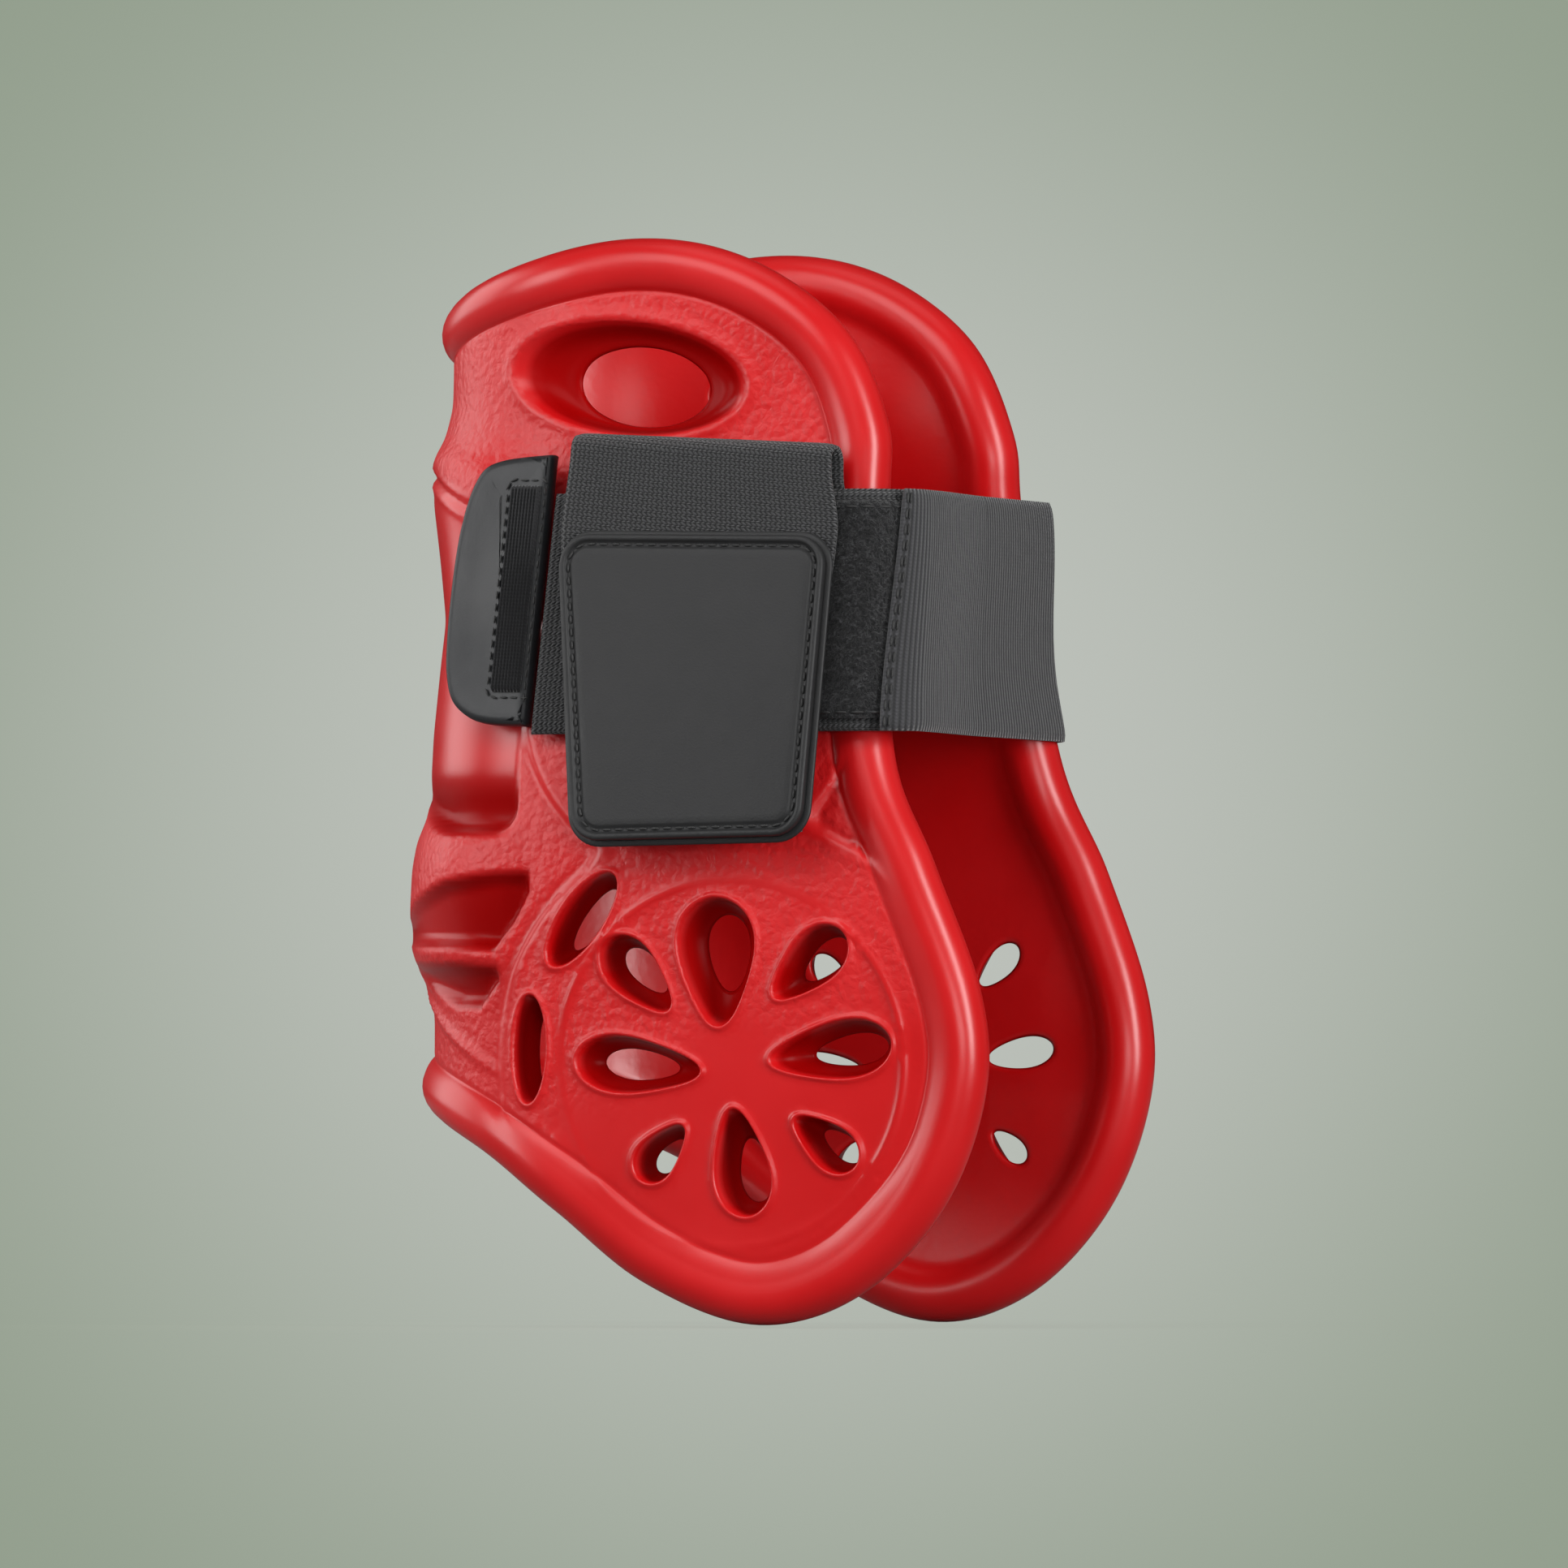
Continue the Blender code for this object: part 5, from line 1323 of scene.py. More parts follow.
class StitchTree(Nodes):
    """A Geometry Nodes tree that lays stitches along a line of points."""

    def __init__(self, thread: Material) -> None:
        """Build the tree, whose inputs are the stitches' pitch, length and thickness."""
        super().__init__(bpy.data.node_groups.new("stitch_line", 'GeometryNodeTree'))
        self.thread = thread
        self.sockets = {}
        face = self.tree.interface
        face.new_socket("Geometry", in_out='INPUT', socket_type='NodeSocketGeometry')
        for name, value in (("Pitch", 0.003), ("Length", 0.0022), ("Thickness", 0.0007)):
            socket = face.new_socket(name, in_out='INPUT', socket_type='NodeSocketFloat')
            socket.default_value = value
            self.sockets[name] = socket.identifier
        face.new_socket("Geometry", in_out='OUTPUT', socket_type='NodeSocketGeometry')
        given = self.node('NodeGroupInput', {})
        line = self.node('GeometryNodeMeshToCurve', {"Mesh": given["Geometry"]})[0]
        spaced = self.node('GeometryNodeResampleCurve', {"Curve": line, "Length": given["Pitch"]}, mode='LENGTH')[0]
        facing = self.node('GeometryNodeInputNamedAttribute', {"Name": "facing"}, data_type='FLOAT_VECTOR')
        turn = self.node('FunctionNodeAxesToRotation',
                         {"Primary Axis": self.node('GeometryNodeInputTangent', {})[0],
                          "Secondary Axis": facing["Attribute"]}, primary_axis='X', secondary_axis='Z')[0]
        ball = self.node('GeometryNodeMeshUVSphere', {"Segments": 8, "Rings": 6, "Radius": 0.5})["Mesh"]
        size = self.node('ShaderNodeCombineXYZ', {0: given["Length"], 1: given["Thickness"], 2: given["Thickness"]})[0]
        shape = self.node('GeometryNodeTransform', {"Geometry": ball, "Scale": size})[0]
        copies = self.node('GeometryNodeInstanceOnPoints', {"Points": spaced, "Instance": shape, "Rotation": turn})[0]
        real = self.node('GeometryNodeRealizeInstances', {"Geometry": copies})[0]
        dress = self.node('GeometryNodeSetMaterial', {"Geometry": real, "Material": thread})[0]
        self.node('NodeGroupOutput', {"Geometry": dress})

    def sew(self, name: str, runs: Sequence[tuple[np.ndarray, np.ndarray]], body: Body, slot: str,
            pitch: float, length: float, thickness: float) -> Object:
        """Sew one piece of stitches.

        Args:
            name: the piece's name.
            runs: for each line of stitches, its points and the way that its cloth faces.
            body: what it rides on.
            slot: not used.
            pitch: how far apart the stitches are.
            length: how long each is.
            thickness: how thick the thread is.
        """
        points = np.concatenate([line for line, _ in runs])
        facing = np.concatenate([np.broadcast_to(way, line.shape) for line, way in runs])
        edges, start = [], 0
        for line, _ in runs:
            edges += [(start + i, start + i + 1) for i in range(len(line) - 1)]
            start += len(line)
        mesh = bpy.data.meshes.new(name + "_line")
        mesh.from_pydata((points * MM).tolist(), edges, [])
        attribute = mesh.attributes.new("facing", 'FLOAT_VECTOR', 'POINT')
        attribute.data.foreach_set("vector", facing.astype(np.float32).ravel())
        holder = link(name + "_line", mesh)
        modifier = holder.modifiers.new("Stitches", 'NODES')
        modifier.node_group = self.tree
        for key, value in (("Pitch", pitch), ("Length", length), ("Thickness", thickness)):
            modifier[self.sockets[key]] = value * MM
        bpy.context.view_layer.update()
        drawn = holder.evaluated_get(bpy.context.evaluated_depsgraph_get())
        made = bpy.data.meshes.new_from_object(drawn)
        made.name = name
        made.shade_smooth()
        if not made.materials:
            made.materials.append(self.thread)
        bpy.data.objects.remove(holder, do_unlink=True)
        return settle(link(name, made), slot, body=body)


@dataclass
class ClosureStrap:
    """The strap on the near wing: webbing, loop tape outside and hook tape inside."""

    strap: StrapForm
    ripple: float = 0.25
    tape_inset: float = 2.0
    seam_inset: float = 3.0

    def layer(self, name: str, left: float, lift: float, thickness: float, half: float, material: Material,
              columns: int, ripple: float) -> Object:
        """Make one layer that follows the wing and turns round the near bead."""
        low, high = (self.strap.near_path(left, height, lift + thickness / 2) for height in (-half, half))
        middle = path_grid(low, high, columns)
        along = arc_lengths(middle)
        across = np.broadcast_to(np.linspace(-half, half, columns), along.shape)
        pile = 1 + ripple * np.sin(along * 7.1 + across * 1.3) * np.sin(across * 5.3 - along * 2.0)
        piece = slab(name, middle, selvedge(columns, thickness, len(low)) * pile, material, along, across)
        self.strap.hinge(piece)
        return piece

    def build(self, palette: Palette, stitches: StitchTree) -> list[Object]:
        """Build the layers and sew them."""
        s = self.strap
        lift = s.webbing + s.seat
        web = self.layer("closure_webbing_dressed", s.left, 0, s.webbing, s.half, palette.webbing, 41, 0.0)
        loop = self.layer("loop_tape_dressed", s.pad[0], lift, s.loop, s.half - self.tape_inset, palette.loop, 60,
                          self.ripple)
        hook = tape_patch("hook_tape_dressed", lambda along, across: s.at(along, across, -s.seat - s.tape / 2),
                          np.linspace(s.reach(s.pad[0]), s.reach(s.pad[1]), 60), np.linspace(*s.pad[2:], 48),
                          s.tape, palette.hook)
        runs = [(s.near_path(s.pad[0], height, lift + s.loop), s.out)
                for height in (s.half - self.seam_inset, self.seam_inset - s.half)]
        return [settle(web, "black_webbing", "closure_webbing"), settle(loop, "black_tape", "outer_loop_tape"),
                settle(hook, "black_tape", "inner_hook_tape", body=Body.CLOSURE),
                stitches.sew("loop_tape_stitches", runs, Body.CLOSURE, "black_tape", 2.8, 2.2, 0.5)]


@dataclass
class ElasticBridge:
    """The elastic: from its rivets round the far bead, across the front and over the near bend."""

    strap: StrapForm
    columns: int = 41
    seam: Pair = (0.43, 0.66)
    seam_rows: tuple[int, ...] = (4, 9)
    seam_reach: float = 18.5
    cover_gap: float = 0.25
    rise: Pair = (32.0, -0.5)
    rib_start: float = 140.0
    hinge_reach: float = 1.2

    def middle(self, height: float, lift: float) -> np.ndarray:
        """The middle of the open front, where the two stretches meet."""
        return (self.strap.far_end(height, lift) + self.strap.bend_end(height, lift)) / 2

    def far_line(self, height: float, lift: float) -> np.ndarray:
        """The elastic's line from its rivets to the middle of the front."""
        s = self.strap
        arc = s.far(np.linspace(math.pi / 2, 0, 40), height, lift)
        end = s.form.point(s.form.root + s.anchor_left, height, s.form.half_wall + s.gap + lift)
        return np.concatenate([np.linspace(end, arc[0], 90)[:-1], arc,
                               np.linspace(arc[-1], self.middle(height, lift), 90)[1:]])

    def near_line(self, height: float, lift: float) -> np.ndarray:
        """The elastic's line from the middle of the front to its seam on the closure's bend."""
        s = self.strap
        start = float(np.interp(height, (-s.half, s.half), self.seam))
        near = s.bend_end(height, lift)
        cover = s.webbing + s.loop + self.cover_gap
        line = np.linspace(self.middle(height, lift), near, 110)[:-1]
        line[:, 0] += smoothstep(near[1] + self.rise[0], near[1] + self.rise[1], line[:, 1]) * cover
        return np.concatenate([line, s.bend(np.linspace(1.0, start, 60), height, lift + cover)])

    def strip(self, name: str, line: Callable[[float, float], np.ndarray], palette: Palette, is_far: bool) -> Object:
        """Make one ribbed stretch of the elastic, whose ribs are parallel to its seam."""
        s = self.strap
        heights = np.linspace(-s.half, s.half, self.columns)
        middle = np.stack([line(height, s.elastic / 2) for height in heights], axis=1)
        along = arc_lengths(middle).mean(1, keepdims=True)
        along = along + self.rib_start - (along[-1] if is_far else 0.0)
        along, across = np.broadcast_arrays(along, heights)
        halves = selvedge(self.columns, s.elastic - 0.2, len(middle), ends=False)
        if is_far:
            halves[:2] *= np.array([[0.5], [0.9]])
        else:
            halves[-2:] *= np.array([[0.9], [0.4]])
        if (grid_normals(middle) * (middle * (1, 1, 0))).sum(-1).mean() < 0:
            middle, halves, along, across = (grid[:, ::-1] for grid in (middle, halves, along, across))
        return slab(name, middle, halves, palette.elastic, along, across)

    def build(self, palette: Palette, stitches: StitchTree) -> list[Object]:
        """Build the two stretches, which meet at the middle of the front, and sew their seams."""
        s = self.strap
        far = self.strip("elastic_far_dressed", self.far_line, palette, True)
        bend_at(far, Body.MOULDING, Body.BRIDGE, (s.far_end(-s.half, s.elastic), s.far_end(s.half, s.elastic)),
                self.hinge_reach)
        near = self.strip("elastic_near_dressed", self.near_line, palette, False)
        s.hinge(near)
        runs = []
        for back in self.seam_rows:
            line = np.stack([self.near_line(height, s.elastic)[-back]
                             for height in np.linspace(-self.seam_reach, self.seam_reach, 24)])
            runs.append((line, unit(line.mean(0) - s.form.front_edge(-1, 0))))
        return [settle(far, "black_elastic", "elastic_anchor", "elastic_band"), settle(near, "black_elastic"),
                stitches.sew("elastic_seam_stitches", runs, Body.CLOSURE, "black_elastic", 2.6, 2.0, 0.5)]


@dataclass
class LockTab:
    """The webbing tab that folds over the strap, with its hook tape and the rubber label."""

    strap: StrapForm
    label_top: float = 12.4
    label_height: float = 52.2
    label_corners: tuple[Pair, ...] = ((-19.6, -0.3), (23.1, 0.3), (25.0, -0.3), (-25.0, 0.7))
    corner: float = 6.0
    fold_slant: Pair = (1.6, -1.0)
    fold_insets: Pair = (1.0, 1.8)
    hem_insets: Pair = (6.2, 3.4)
    hem_lap: float = 2.2
    backing: float = 0.8
    backing_rim: tuple[Pair, ...] = ((0.35, 0.0), (0.08, 0.1), (0.0, 0.35), (0.05, 0.6), (0.3, 0.78), (0.9, 0.8))
    label: float = 1.7
    label_rim: tuple[Pair, ...] = (
        (1.1, -1.7), (0.9, -1.45), (0.88, -0.55), (1.0, -0.2), (1.25, -0.03), (1.55, 0.0), (1.85, -0.06),
        (2.02, -0.3), (2.15, -0.6), (2.6, -0.7), (3.0, -0.6), (3.18, -0.38), (3.5, -0.28), (4.5, -0.26))
    stitch_row: Pair = (2.6, -0.6)
    tape_margin: float = 4.0
    tape_half: float = 18.0
    stand: float = 0.15
    columns: int = 51

    def outline(self, inset: float, steps: int = 10) -> np.ndarray:
        """The label's rounded trapezoid in the strap's plane, drawn in by an inset."""
        middle = self.strap.reach(self.strap.tab_left) + self.strap.tab_width / 2
        top, bottom = self.label_top - inset, self.label_top - self.label_height + inset
        corners = np.array([(middle + side - math.copysign(inset, side), level + up)
                            for (side, up), level in zip(self.label_corners, (bottom, bottom, top, top))])
        radius = max(self.corner - inset, 0.4)
        arcs = []
        for index, corner in enumerate(corners):
            before = unit(corners[index - 1] - corner)
            after = unit(corners[(index + 1) % 4] - corner)
            half = math.acos(float(np.clip(before @ after, -1, 1))) / 2
            centre = corner + unit(before + after) * radius / math.sin(half)
            first, last = (math.atan2(*(corner + way * radius / math.tan(half) - centre)[::-1])
                           for way in (before, after))
            if last < first:
                last += 2 * math.pi
            arcs.append(centre + circle(radius, np.linspace(first, last, steps + 1)))
        return np.concatenate([part for arc, following in zip(arcs, arcs[1:] + arcs[:1])
                               for part in (arc, np.linspace(arc[-1], following[0], 26)[1:-1])])

    def plate(self, name: str, profile: Sequence[Pair], base: float, material: Material) -> Object:
        """Make a moulded plate from insets and heights."""
        return ring_stack(name, [self.strap.at(*self.outline(inset).T, base + height) for inset, height in profile],
                          material)

    def build(self, palette: Palette, stitches: StitchTree) -> list[Object]:
        """Build the tab, its tape, the label and its stitches."""
        s = self.strap
        front, radius, centre = s.fold()
        tab = self.webbing_tab(palette, front, radius, centre)
        left = s.reach(s.tab_left)
        hook = tape_patch("lock_tape_dressed", lambda along, across: s.at(along, across, front - s.seat - s.tape / 2),
                          np.linspace(left + self.tape_margin, left + s.tab_width - self.tape_margin, 60),
                          np.linspace(-self.tape_half, self.tape_half, 50), s.tape, palette.hook)
        face = front + s.tab + self.stand
        crest = face + self.backing + s.seat + self.label
        back = self.plate("label_backing_dressed", self.backing_rim, face, palette.label)
        label = self.plate("label_plate_dressed", self.label_rim, crest, palette.label)
        line = s.at(*self.outline(self.stitch_row[0]).T, crest + self.stitch_row[1])
        thread = stitches.sew("label_stitches", [(np.concatenate([line, line[:1]]), s.out)], Body.FLAP, "grey_rubber",
                              2.15, 1.6, 0.5)
        return [tab, settle(hook, "black_tape", "lock_hook_tape", body=Body.FLAP),
                settle(back, "grey_rubber", "label_backing", body=Body.FLAP),
                settle(label, "grey_rubber", "label_patch", body=Body.FLAP), thread]

    def webbing_tab(self, palette: Palette, front: float, radius: float, centre: float) -> Object:
        """The tab's webbing: its back leaf, its fold and its front leaf, in one piece."""
        s = self.strap
        turns = np.linspace(0, math.pi, 22)
        reach = radius + s.tab / 2
        path = [(height, -s.gap - s.tab / 2) for height in np.linspace(s.half - s.back_lap, centre, 14)[:-1]]
        path += [(centre + reach * math.sin(turn), front - radius - reach * math.cos(turn)) for turn in turns]
        hem = self.label_top - self.label_height + self.hem_lap
        path += [(height, front + s.tab / 2) for height in np.linspace(centre, hem, 60)[1:]]
        left = s.reach(s.tab_left)
        rows = []
        for up, out in path:
            squeeze = float(smoothstep(self.label_top + 1, self.label_top - 30, np.array(up))) * (out > front)
            high = float(smoothstep(self.label_top, centre, np.array(up)))
            first, last = (hem_inset * squeeze + fold_inset * high
                           for hem_inset, fold_inset in zip(self.hem_insets, self.fold_insets))
            tilt = np.linspace(*self.fold_slant, self.columns) * high
            rows.append(s.at(np.linspace(left + first, left + s.tab_width - last, self.columns), up + tilt, out))
        middle = np.stack(rows)
        along = arc_lengths(middle)
        across = np.broadcast_to(np.linspace(0, s.tab_width, self.columns), along.shape)
        halves = selvedge(self.columns, s.tab, len(path))
        piece = slab("lock_tab_dressed", middle, halves, palette.webbing, across, along)
        bend_between(piece, Body.CLOSURE, Body.FLAP, s.at(0, centre, s.gap), s.at(0, centre, front))
        return settle(piece, "black_webbing", "lock_tab_back", "lock_tab_front")


@dataclass
class PullGrip:
    """The rubber pull at the strap's end, and the ribbed strip sewn onto it."""

    strap: StrapForm
    top: float = 26.7
    bottom: float = -19.0
    reach: float = 17.5
    tilt: float = math.radians(3.2)
    thickness: float = 3.0
    set_in: float = math.radians(9)
    thinning: float = 0.18
    strip_width: float = 5.6
    strip_inset: float = 1.3
    strip_end: float = 5.5
    stitch_margin: float = 0.9
    rib_count: int = 9
    shape: tuple[Pair, ...] = (
        (0.0, 0.0), (0.0, 1.0), (-0.3, 0.99), (-0.56, 0.975), (-0.75, 0.945), (-0.86, 0.88), (-0.93, 0.79),
        (-0.98, 0.66), (-1.0, 0.47), (-0.99, 0.3), (-0.955, 0.18), (-0.86, 0.085), (-0.68, 0.03), (-0.44, 0.005))
    profile: tuple[Pair, ...] = (
        (1.3, -2.98), (0.6, -2.88), (0.15, -2.45), (0.0, -1.8), (0.0, -1.2), (0.15, -0.55), (0.6, -0.12),
        (1.3, -0.02), (2.2, 0.0), (4.0, -0.12), (6.0, -0.2))

    def at(self, x: np.ndarray, up: np.ndarray, out: np.ndarray) -> np.ndarray:
        """A place in the pull's frame: its hinge at 0, its X below 0 towards its tip."""
        s = self.strap
        cos, sin = math.cos(self.set_in), math.sin(self.set_in)
        drop = self.top - up
        up = self.top - drop * math.cos(self.tilt) - x * math.sin(self.tilt)
        x = x * math.cos(self.tilt) - drop * math.sin(self.tilt)
        seam = s.gap + self.thickness * sin
        return s.at(s.reach(s.left) - seam + x * cos - out * sin, up,
                    (s.webbing + self.thickness) / 2 + x * sin + out * cos)

    @property
    def facing(self) -> np.ndarray:
        """The way that the pull's face looks."""
        return self.at(-5.0, 0.0, 1.0) - self.at(-5.0, 0.0, 0.0)

    def outline(self, inset: float, count: int = 150) -> np.ndarray:
        """The pull's outline, drawn in by an inset."""
        points = np.array([(x * self.reach, self.bottom + share * (self.top - self.bottom)) for x, share in self.shape])
        loop = np.vstack([points[:1], catmull(np.vstack([points[1:], points[:1]]), 10)])
        loop = resample(loop, loop, np.linalg.norm(np.diff(loop, axis=0), axis=1).sum() / count)[:-1]
        tangent = unit(np.roll(loop, -1, axis=0) - np.roll(loop, 1, axis=0))
        inward = np.stack([tangent[:, 1], -tangent[:, 0]], axis=1) * self.turning(loop)
        return loop + inward * inset

    @staticmethod
    def turning(loop: np.ndarray) -> float:
        """1 for a loop that runs clockwise, or else -1."""
        x, y = loop.T
        return float(np.sign((np.roll(x, -1) * y - x * np.roll(y, -1)).sum()))

    def build(self, palette: Palette, stitches: StitchTree) -> list[Object]:
        """Build the pull, its strip and the box of stitches round it."""
        rings = []
        for inset, out in self.profile:
            x, up = self.outline(inset).T
            thin = 1 - self.thinning * smoothstep(-6, -self.reach, x) * (out > -self.thickness / 2)
            rings.append(self.at(x, up, out * thin))
        tip = ring_stack("pull_tip_dressed", rings, palette.pull)
        margin = self.stitch_margin
        inner, outer = margin - self.strip_inset, -self.strip_inset - self.strip_width - margin
        low, high = self.bottom + self.strip_end - margin, self.top - self.strip_end + margin
        box = np.array([(inner, low), (inner, high), (outer, high), (outer, low), (inner, low)])
        line = np.concatenate([np.linspace(a, b, 12)[:-1] for a, b in zip(box, box[1:])] + [box[-1:]])
        return [settle(tip, "glossy_rubber", "grip_tip", body=Body.PULL),
                settle(self.strip(palette), "black_webbing", "grip_strip", body=Body.PULL),
                stitches.sew("pull_stitches", [(self.at(*line.T, 0.12), self.facing)], Body.PULL, "black_webbing",
                             2.0, 1.5, 0.4)]

    def strip(self, palette: Palette) -> Object:
        """The strip with its lengthways ribs."""
        place = np.linspace(0, 1, self.rib_count * 8 + 1)
        ribs = np.abs(np.sin(place * math.pi * self.rib_count)) ** 0.7
        x, up = np.meshgrid(-self.strip_inset - self.strip_width * (1 - place),
                            np.linspace(self.bottom + self.strip_end, self.top - self.strip_end, 60), indexing="ij")
        height = np.broadcast_to((0.25 + 0.75 * ribs)[:, None], x.shape).copy()
        height[:, 0] = height[:, -1] = 0.2
        height[0] = height[-1] = 0.15
        cord = np.broadcast_to(place[:, None] * self.rib_count * ElasticFinish.rib / MM, x.shape)
        return slab("pull_strip_dressed", self.at(x, up, height / 2), height / 2, palette.elastic, cord, up,
                    unit(self.facing))


@dataclass
class WingPad:
    """The hook pad on the near wing, which follows its skin."""

    strap: StrapForm
    stand: float = 0.25

    def build(self, palette: Palette) -> Object:
        """Build the pad."""
        s = self.strap
        lift = s.form.half_wall + s.gap + self.stand + s.tape / 2
        piece = tape_patch("wing_pad_dressed", lambda x, z: s.form.point(-(s.form.root + x), z, lift),
                           np.linspace(*s.pad[:2], 60), np.linspace(*s.pad[2:], 50), s.tape, palette.hook)
        return settle(piece, "black_tape", "near_hook_pad", body=Body.MOULDING)


@dataclass
class Rivets:
    """The two tubular rivets and their washers at the elastic's fixed end."""

    strap: StrapForm
    place: float = 28.0
    heights: Pair = (10.0, -10.0)
    head: float = 4.5
    shank: float = 1.8
    dome: float = 1.4
    dome_turns: tuple[int, ...] = (72, 58, 44, 30, 18, 8, 1)
    rim: float = 0.6
    roll: float = 3.0
    washer: Pair = (5.0, 0.6)
    play: float = 0.3
    seat: float = 0.05
    sides: int = 48

    def frame(self, height: float) -> tuple[np.ndarray, np.ndarray]:
        """A rivet's place on the far wing's skin, and its three directions."""
        form = self.strap.form
        skin, step = form.half_wall, form.wall
        u = form.root + self.place
        along = form.point(u + step, height, skin) - form.point(u - step, height, skin)
        up = form.point(u, height + step, skin) - form.point(u, height - step, skin)
        out, up = unit(np.cross(up, along)), unit(up)
        return form.point(u, height, skin), np.stack([up, np.cross(out, up), out])

    def turned(self, name: str, profile: Sequence[Pair], height: float, palette: Palette) -> Object:
        """Turn a steel piece's profile about a rivet's axis."""
        origin, axes = self.frame(height)
        turn = full_turn(self.sides)
        rings = [origin + np.column_stack([circle(radius, turn), np.full_like(turn, level)]) @ axes
                 for radius, level in profile]
        return settle(ring_stack(name + "_dressed", rings, palette.steel), "steel", name, body=Body.MOULDING)

    def stand(self, height: float) -> float:
        """How far the elastic's outer face stands off the wing at a rivet."""
        origin, axes = self.frame(height)
        s = self.strap
        faces = []
        for edge in (-s.half, s.half):
            end = s.form.point(s.form.root + s.anchor_left, edge, s.form.half_wall + s.gap + s.elastic)
            arc = s.far_end(edge, s.elastic, math.pi / 2)
            faces.append(end[1] + (arc[1] - end[1]) * (self.place - end[0]) / (arc[0] - end[0]))
        face = faces[0] + (faces[1] - faces[0]) * (origin[2] + s.half) / (2 * s.half)
        return (face - origin[1]) * axes[2][1]

    def build(self, palette: Palette) -> list[Object]:
        """Build both rivets and washers."""
        wall = self.strap.form.wall
        radius, thick = self.washer
        tail = -wall - thick - self.rim
        level = -wall - self.strap.gap
        bore = self.shank + self.play
        loop = [(bore, level - thick), (radius * 0.96, level - thick), (radius, level - thick * 0.5),
                (radius * 0.96, level), (bore, level)]
        pieces = []
        for name, height in zip(("upper", "lower"), self.heights):
            seat = self.stand(height) + self.seat
            rim = seat + self.rim
            profile = [(0.01, tail - self.rim), (self.roll * 0.55, tail - self.rim * 1.1),
                       (self.roll * 0.9, tail - self.rim * 0.8), (self.roll, tail - self.rim * 0.4),
                       (self.roll * 0.9, tail), (self.shank, tail + self.seat), (self.shank, seat),
                       (self.head * 0.97, seat), (self.head, seat + self.rim * 0.5), (self.head * 0.97, rim)]
            profile += [(self.head * math.sin(t), rim + self.dome * math.cos(t)) for t in np.radians(self.dome_turns)]
            pieces += [self.turned("rivet_" + name, profile, height, palette),
                       self.turned("washer_" + name, loop, height, palette)]
        return pieces


# The studio.

@dataclass(frozen=True)
class Lamp:
    """A soft light, placed by its bearing and rise from the camera's view."""

    name: str
    bearing: float
    rise: float
    distance: float
    size: Pair
    power: float
    is_mirrored: bool = True


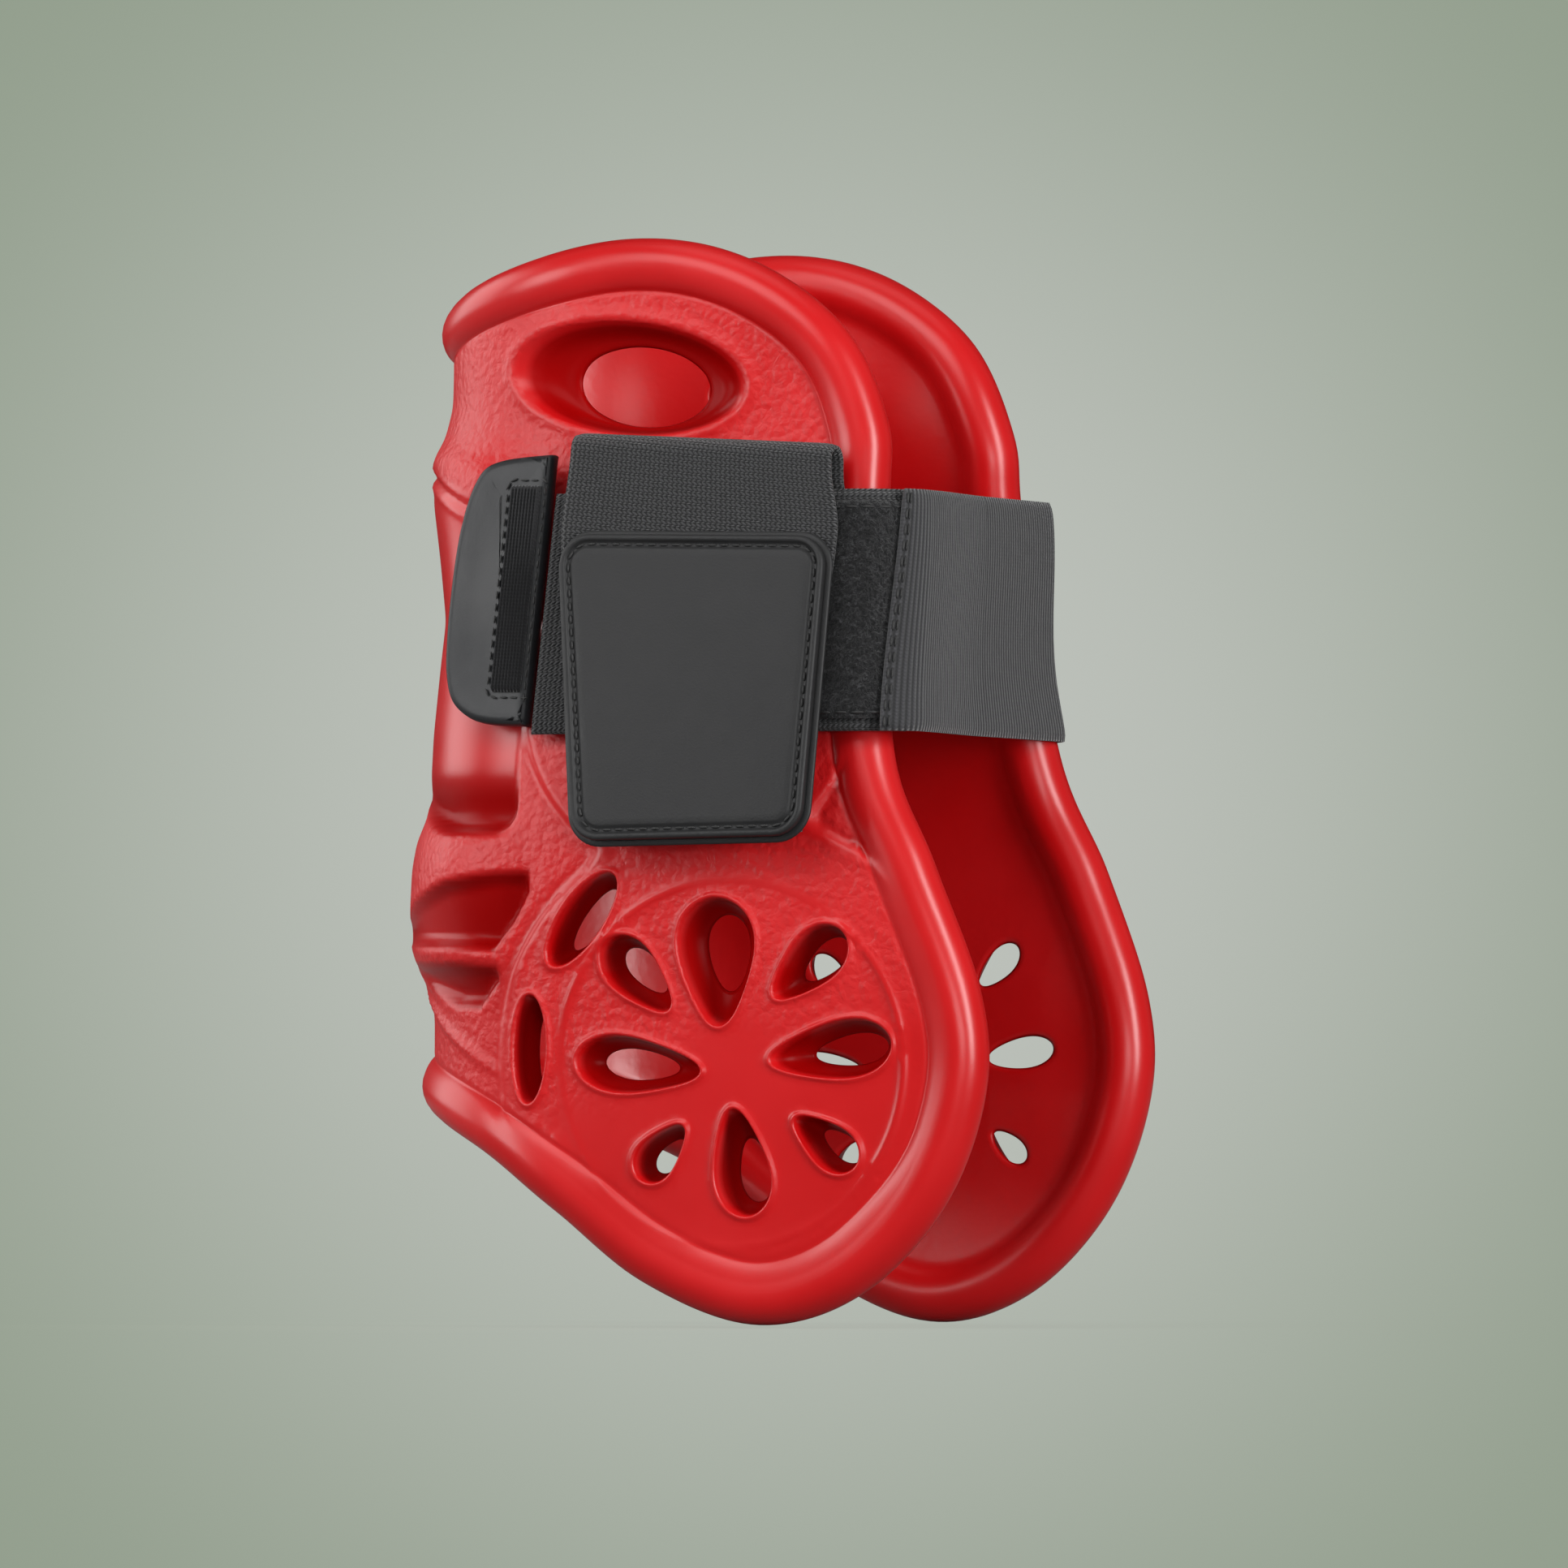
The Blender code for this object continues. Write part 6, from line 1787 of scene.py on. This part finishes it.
@dataclass
class Studio:
    """The floor and backdrop, the lights and the camera."""

    floor: float = -118.2
    azimuth: float = math.radians(24.0)
    elevation: float = math.radians(-1.4)
    distance: float = 2800.0
    lens: float = 383.0
    centre: Pair = (20.84, -27.3)
    target: Triple = (20.0, 0.0, -30.0)
    wall: Pair = (2800.0, 400.0)
    reach: float = 4000.0
    wall_top: float = 5000.0
    # The backdrop's painted pool of light: its glowing middle and its darker corner colour.
    middle: Colour = (0.505, 0.528, 0.490, 1)
    corner: Colour = (0.292, 0.345, 0.268, 1)
    bounce: Colour = (0.2, 0.2, 0.2, 1)
    sky: Colour = (0.9, 0.92, 0.9, 1)
    air: float = 0.22
    lamps: tuple[Lamp, ...] = (
        Lamp("key", -30.0, 38.0, 1150.0, (760.0, 560.0), 5.4), Lamp("left", -116.0, 18.0, 700.0, (480.0, 520.0), 2.1),
        Lamp("side", -67.0, 13.0, 820.0, (320.0, 420.0), 2.9), Lamp("right", 46.0, 10.0, 900.0, (220.0, 620.0), 7.2),
        Lamp("front", 10.0, 1.0, 1300.0, (460.0, 220.0), 2.9), Lamp("top", 10.0, 84.0, 760.0, (520.0, 360.0), 0.5),
        Lamp("back", 172.0, 24.0, 1100.0, (700.0, 560.0), 5.0, is_mirrored=False))

    def view(self, bearing: float, rise: float) -> np.ndarray:
        """The way out from the boot at a bearing and rise from the camera's own, in radians."""
        turn = self.azimuth + bearing
        return np.array([math.sin(turn) * math.cos(rise), -math.cos(turn) * math.cos(rise), math.sin(rise)])

    def backdrop(self) -> None:
        """Make the floor, which curves up into the backdrop."""
        start, curve = self.wall
        profile = [(-self.reach, 0.0), (-1500.0, 0.0), (0.0, 0.0), (start, 0.0)]
        profile += [(start + curve * math.sin(t), curve - curve * math.cos(t))
                    for t in np.linspace(0.1, math.pi / 2, 16)]
        profile += [(start + curve, 2000.0), (start + curve, self.wall_top)]
        across = np.linspace(-self.reach, self.reach, 9)
        right, near = self.view(math.pi / 2, 0), self.view(0, 0)
        points = [right * side - near * depth + (0, 0, self.floor + rise) for depth, rise in profile for side in across]
        make_piece("backdrop", np.array(points), grid_faces(len(profile), len(across), flip=True),
                            self.paint())

    def paint(self) -> Material:
        """The backdrop's paint: one soft pool of light over wall and floor, which still takes the boot's shadow."""
        graph = Graph("pale_backdrop")
        place = graph.place()
        across, ahead, up = graph.split(graph.node("ShaderNodeMapping", {0: place, 2: (0, 0, -self.azimuth)})[0])
        depth = graph.fused(ahead, 1 / (self.distance * MM), 1.0)
        eye = self.centre[1] + self.distance * math.sin(self.elevation)
        side, rise = (graph.math('DIVIDE', graph.math('SUBTRACT', value, middle * MM), depth)
                      for value, middle in ((across, self.centre[0]), (up, eye)))
        rise = graph.math('ADD', rise, (eye - self.centre[1]) * MM)
        spread = graph.math('SQRT', graph.fused(side, side, graph.times(rise, rise)))
        colour = graph.mix(graph.ramp(spread, 0.03, 0.2), self.middle, self.corner)
        rays = graph.node("ShaderNodeLightPath", {})
        seen = graph.math('MAXIMUM', rays["Is Camera Ray"], rays["Is Transmission Ray"])
        graph.finish(Base_Color=graph.mix(seen, self.bounce, colour), Roughness=0.95, Specular_IOR_Level=0.1)
        near = graph.node("ShaderNodeVectorMath", {0: place}, operation='LENGTH')["Value"]
        mixed = graph.node("ShaderNodeMixShader", {
            0: graph.times(seen, graph.ramp(near, 0.12, 0.2, 0.9, 1.0)), 1: graph.shader.outputs[0],
            2: graph.node("ShaderNodeEmission", {0: colour})[0]})
        graph.put(graph.tree.nodes["Material Output"].inputs[0], mixed[0])
        return graph.material

    def light(self, lamp: Lamp) -> None:
        """Add one soft light that faces the boot."""
        area = bpy.data.lights.new(lamp.name, 'AREA')
        area.shape = 'RECTANGLE'
        area.size, area.size_y = lamp.size[0] * MM, lamp.size[1] * MM
        area.energy = lamp.power
        holder = link(lamp.name, area)
        holder.visible_glossy = lamp.is_mirrored
        way = self.view(math.radians(lamp.bearing), math.radians(lamp.rise))
        holder.location = Vector((way * lamp.distance * MM).tolist())
        facing = holder.location - Vector(self.target) * MM
        holder.rotation_euler = facing.to_track_quat('Z', 'Y').to_euler()

    def world(self) -> bpy.types.World:
        """The air round the boot, which the camera sees as pale as the backdrop's middle."""
        world = bpy.data.worlds.new("studio_air")
        world.use_nodes = True
        nodes = Nodes(world.node_tree)
        seen = nodes.node("ShaderNodeLightPath", {})["Is Camera Ray"]
        shown = nodes.node("ShaderNodeMapRange", {"Value": seen, "To Min": self.air, "To Max": self.middle[0]})[0]
        sky = world.node_tree.nodes["Background"]
        nodes.put(sky.inputs["Color"], self.sky)
        nodes.put(sky.inputs["Strength"], shown)
        return world

    def camera(self) -> Object:
        """The camera, as far off and as long as the photograph's."""
        lens = bpy.data.cameras.new("camera")
        lens.sensor_width, lens.lens = 36, self.lens
        lens.clip_start, lens.clip_end = 0.1, 20
        camera = link("camera", lens)
        way = self.view(0, self.elevation)
        target = self.view(math.pi / 2, 0) * self.centre[0] + (0, 0, self.centre[1])
        camera.location = Vector(((target + way * self.distance) * MM).tolist())
        camera.rotation_euler = Vector(way.tolist()).to_track_quat('Z', 'Y').to_euler()
        return camera

    def build(self) -> None:
        """Build the whole studio."""
        self.backdrop()
        for lamp in self.lamps:
            self.light(lamp)
        scene = bpy.context.scene
        scene.world, scene.camera = self.world(), self.camera()
        scene.view_settings.view_transform = 'Standard'


def main() -> None:
    """Build every part of the boot in order, and report each piece."""
    logging.basicConfig(level=logging.INFO, format="%(name)s: %(message)s")
    Studio().build()
    palette = Palette()
    form = BootForm()
    strap = StrapForm(form)
    stitches = StitchTree(palette.thread)
    made = [MouldedShell(form).build(palette), WingPad(strap).build(palette)]
    for sewn in (ElasticBridge, ClosureStrap, LockTab, PullGrip):
        made += sewn(strap).build(palette, stitches)
    made += Rivets(strap).build(palette)
    for piece in made:
        LOG.info("%s: %d faces", piece.name, len(piece.data.polygons))


if __name__ == "__main__":
    main()
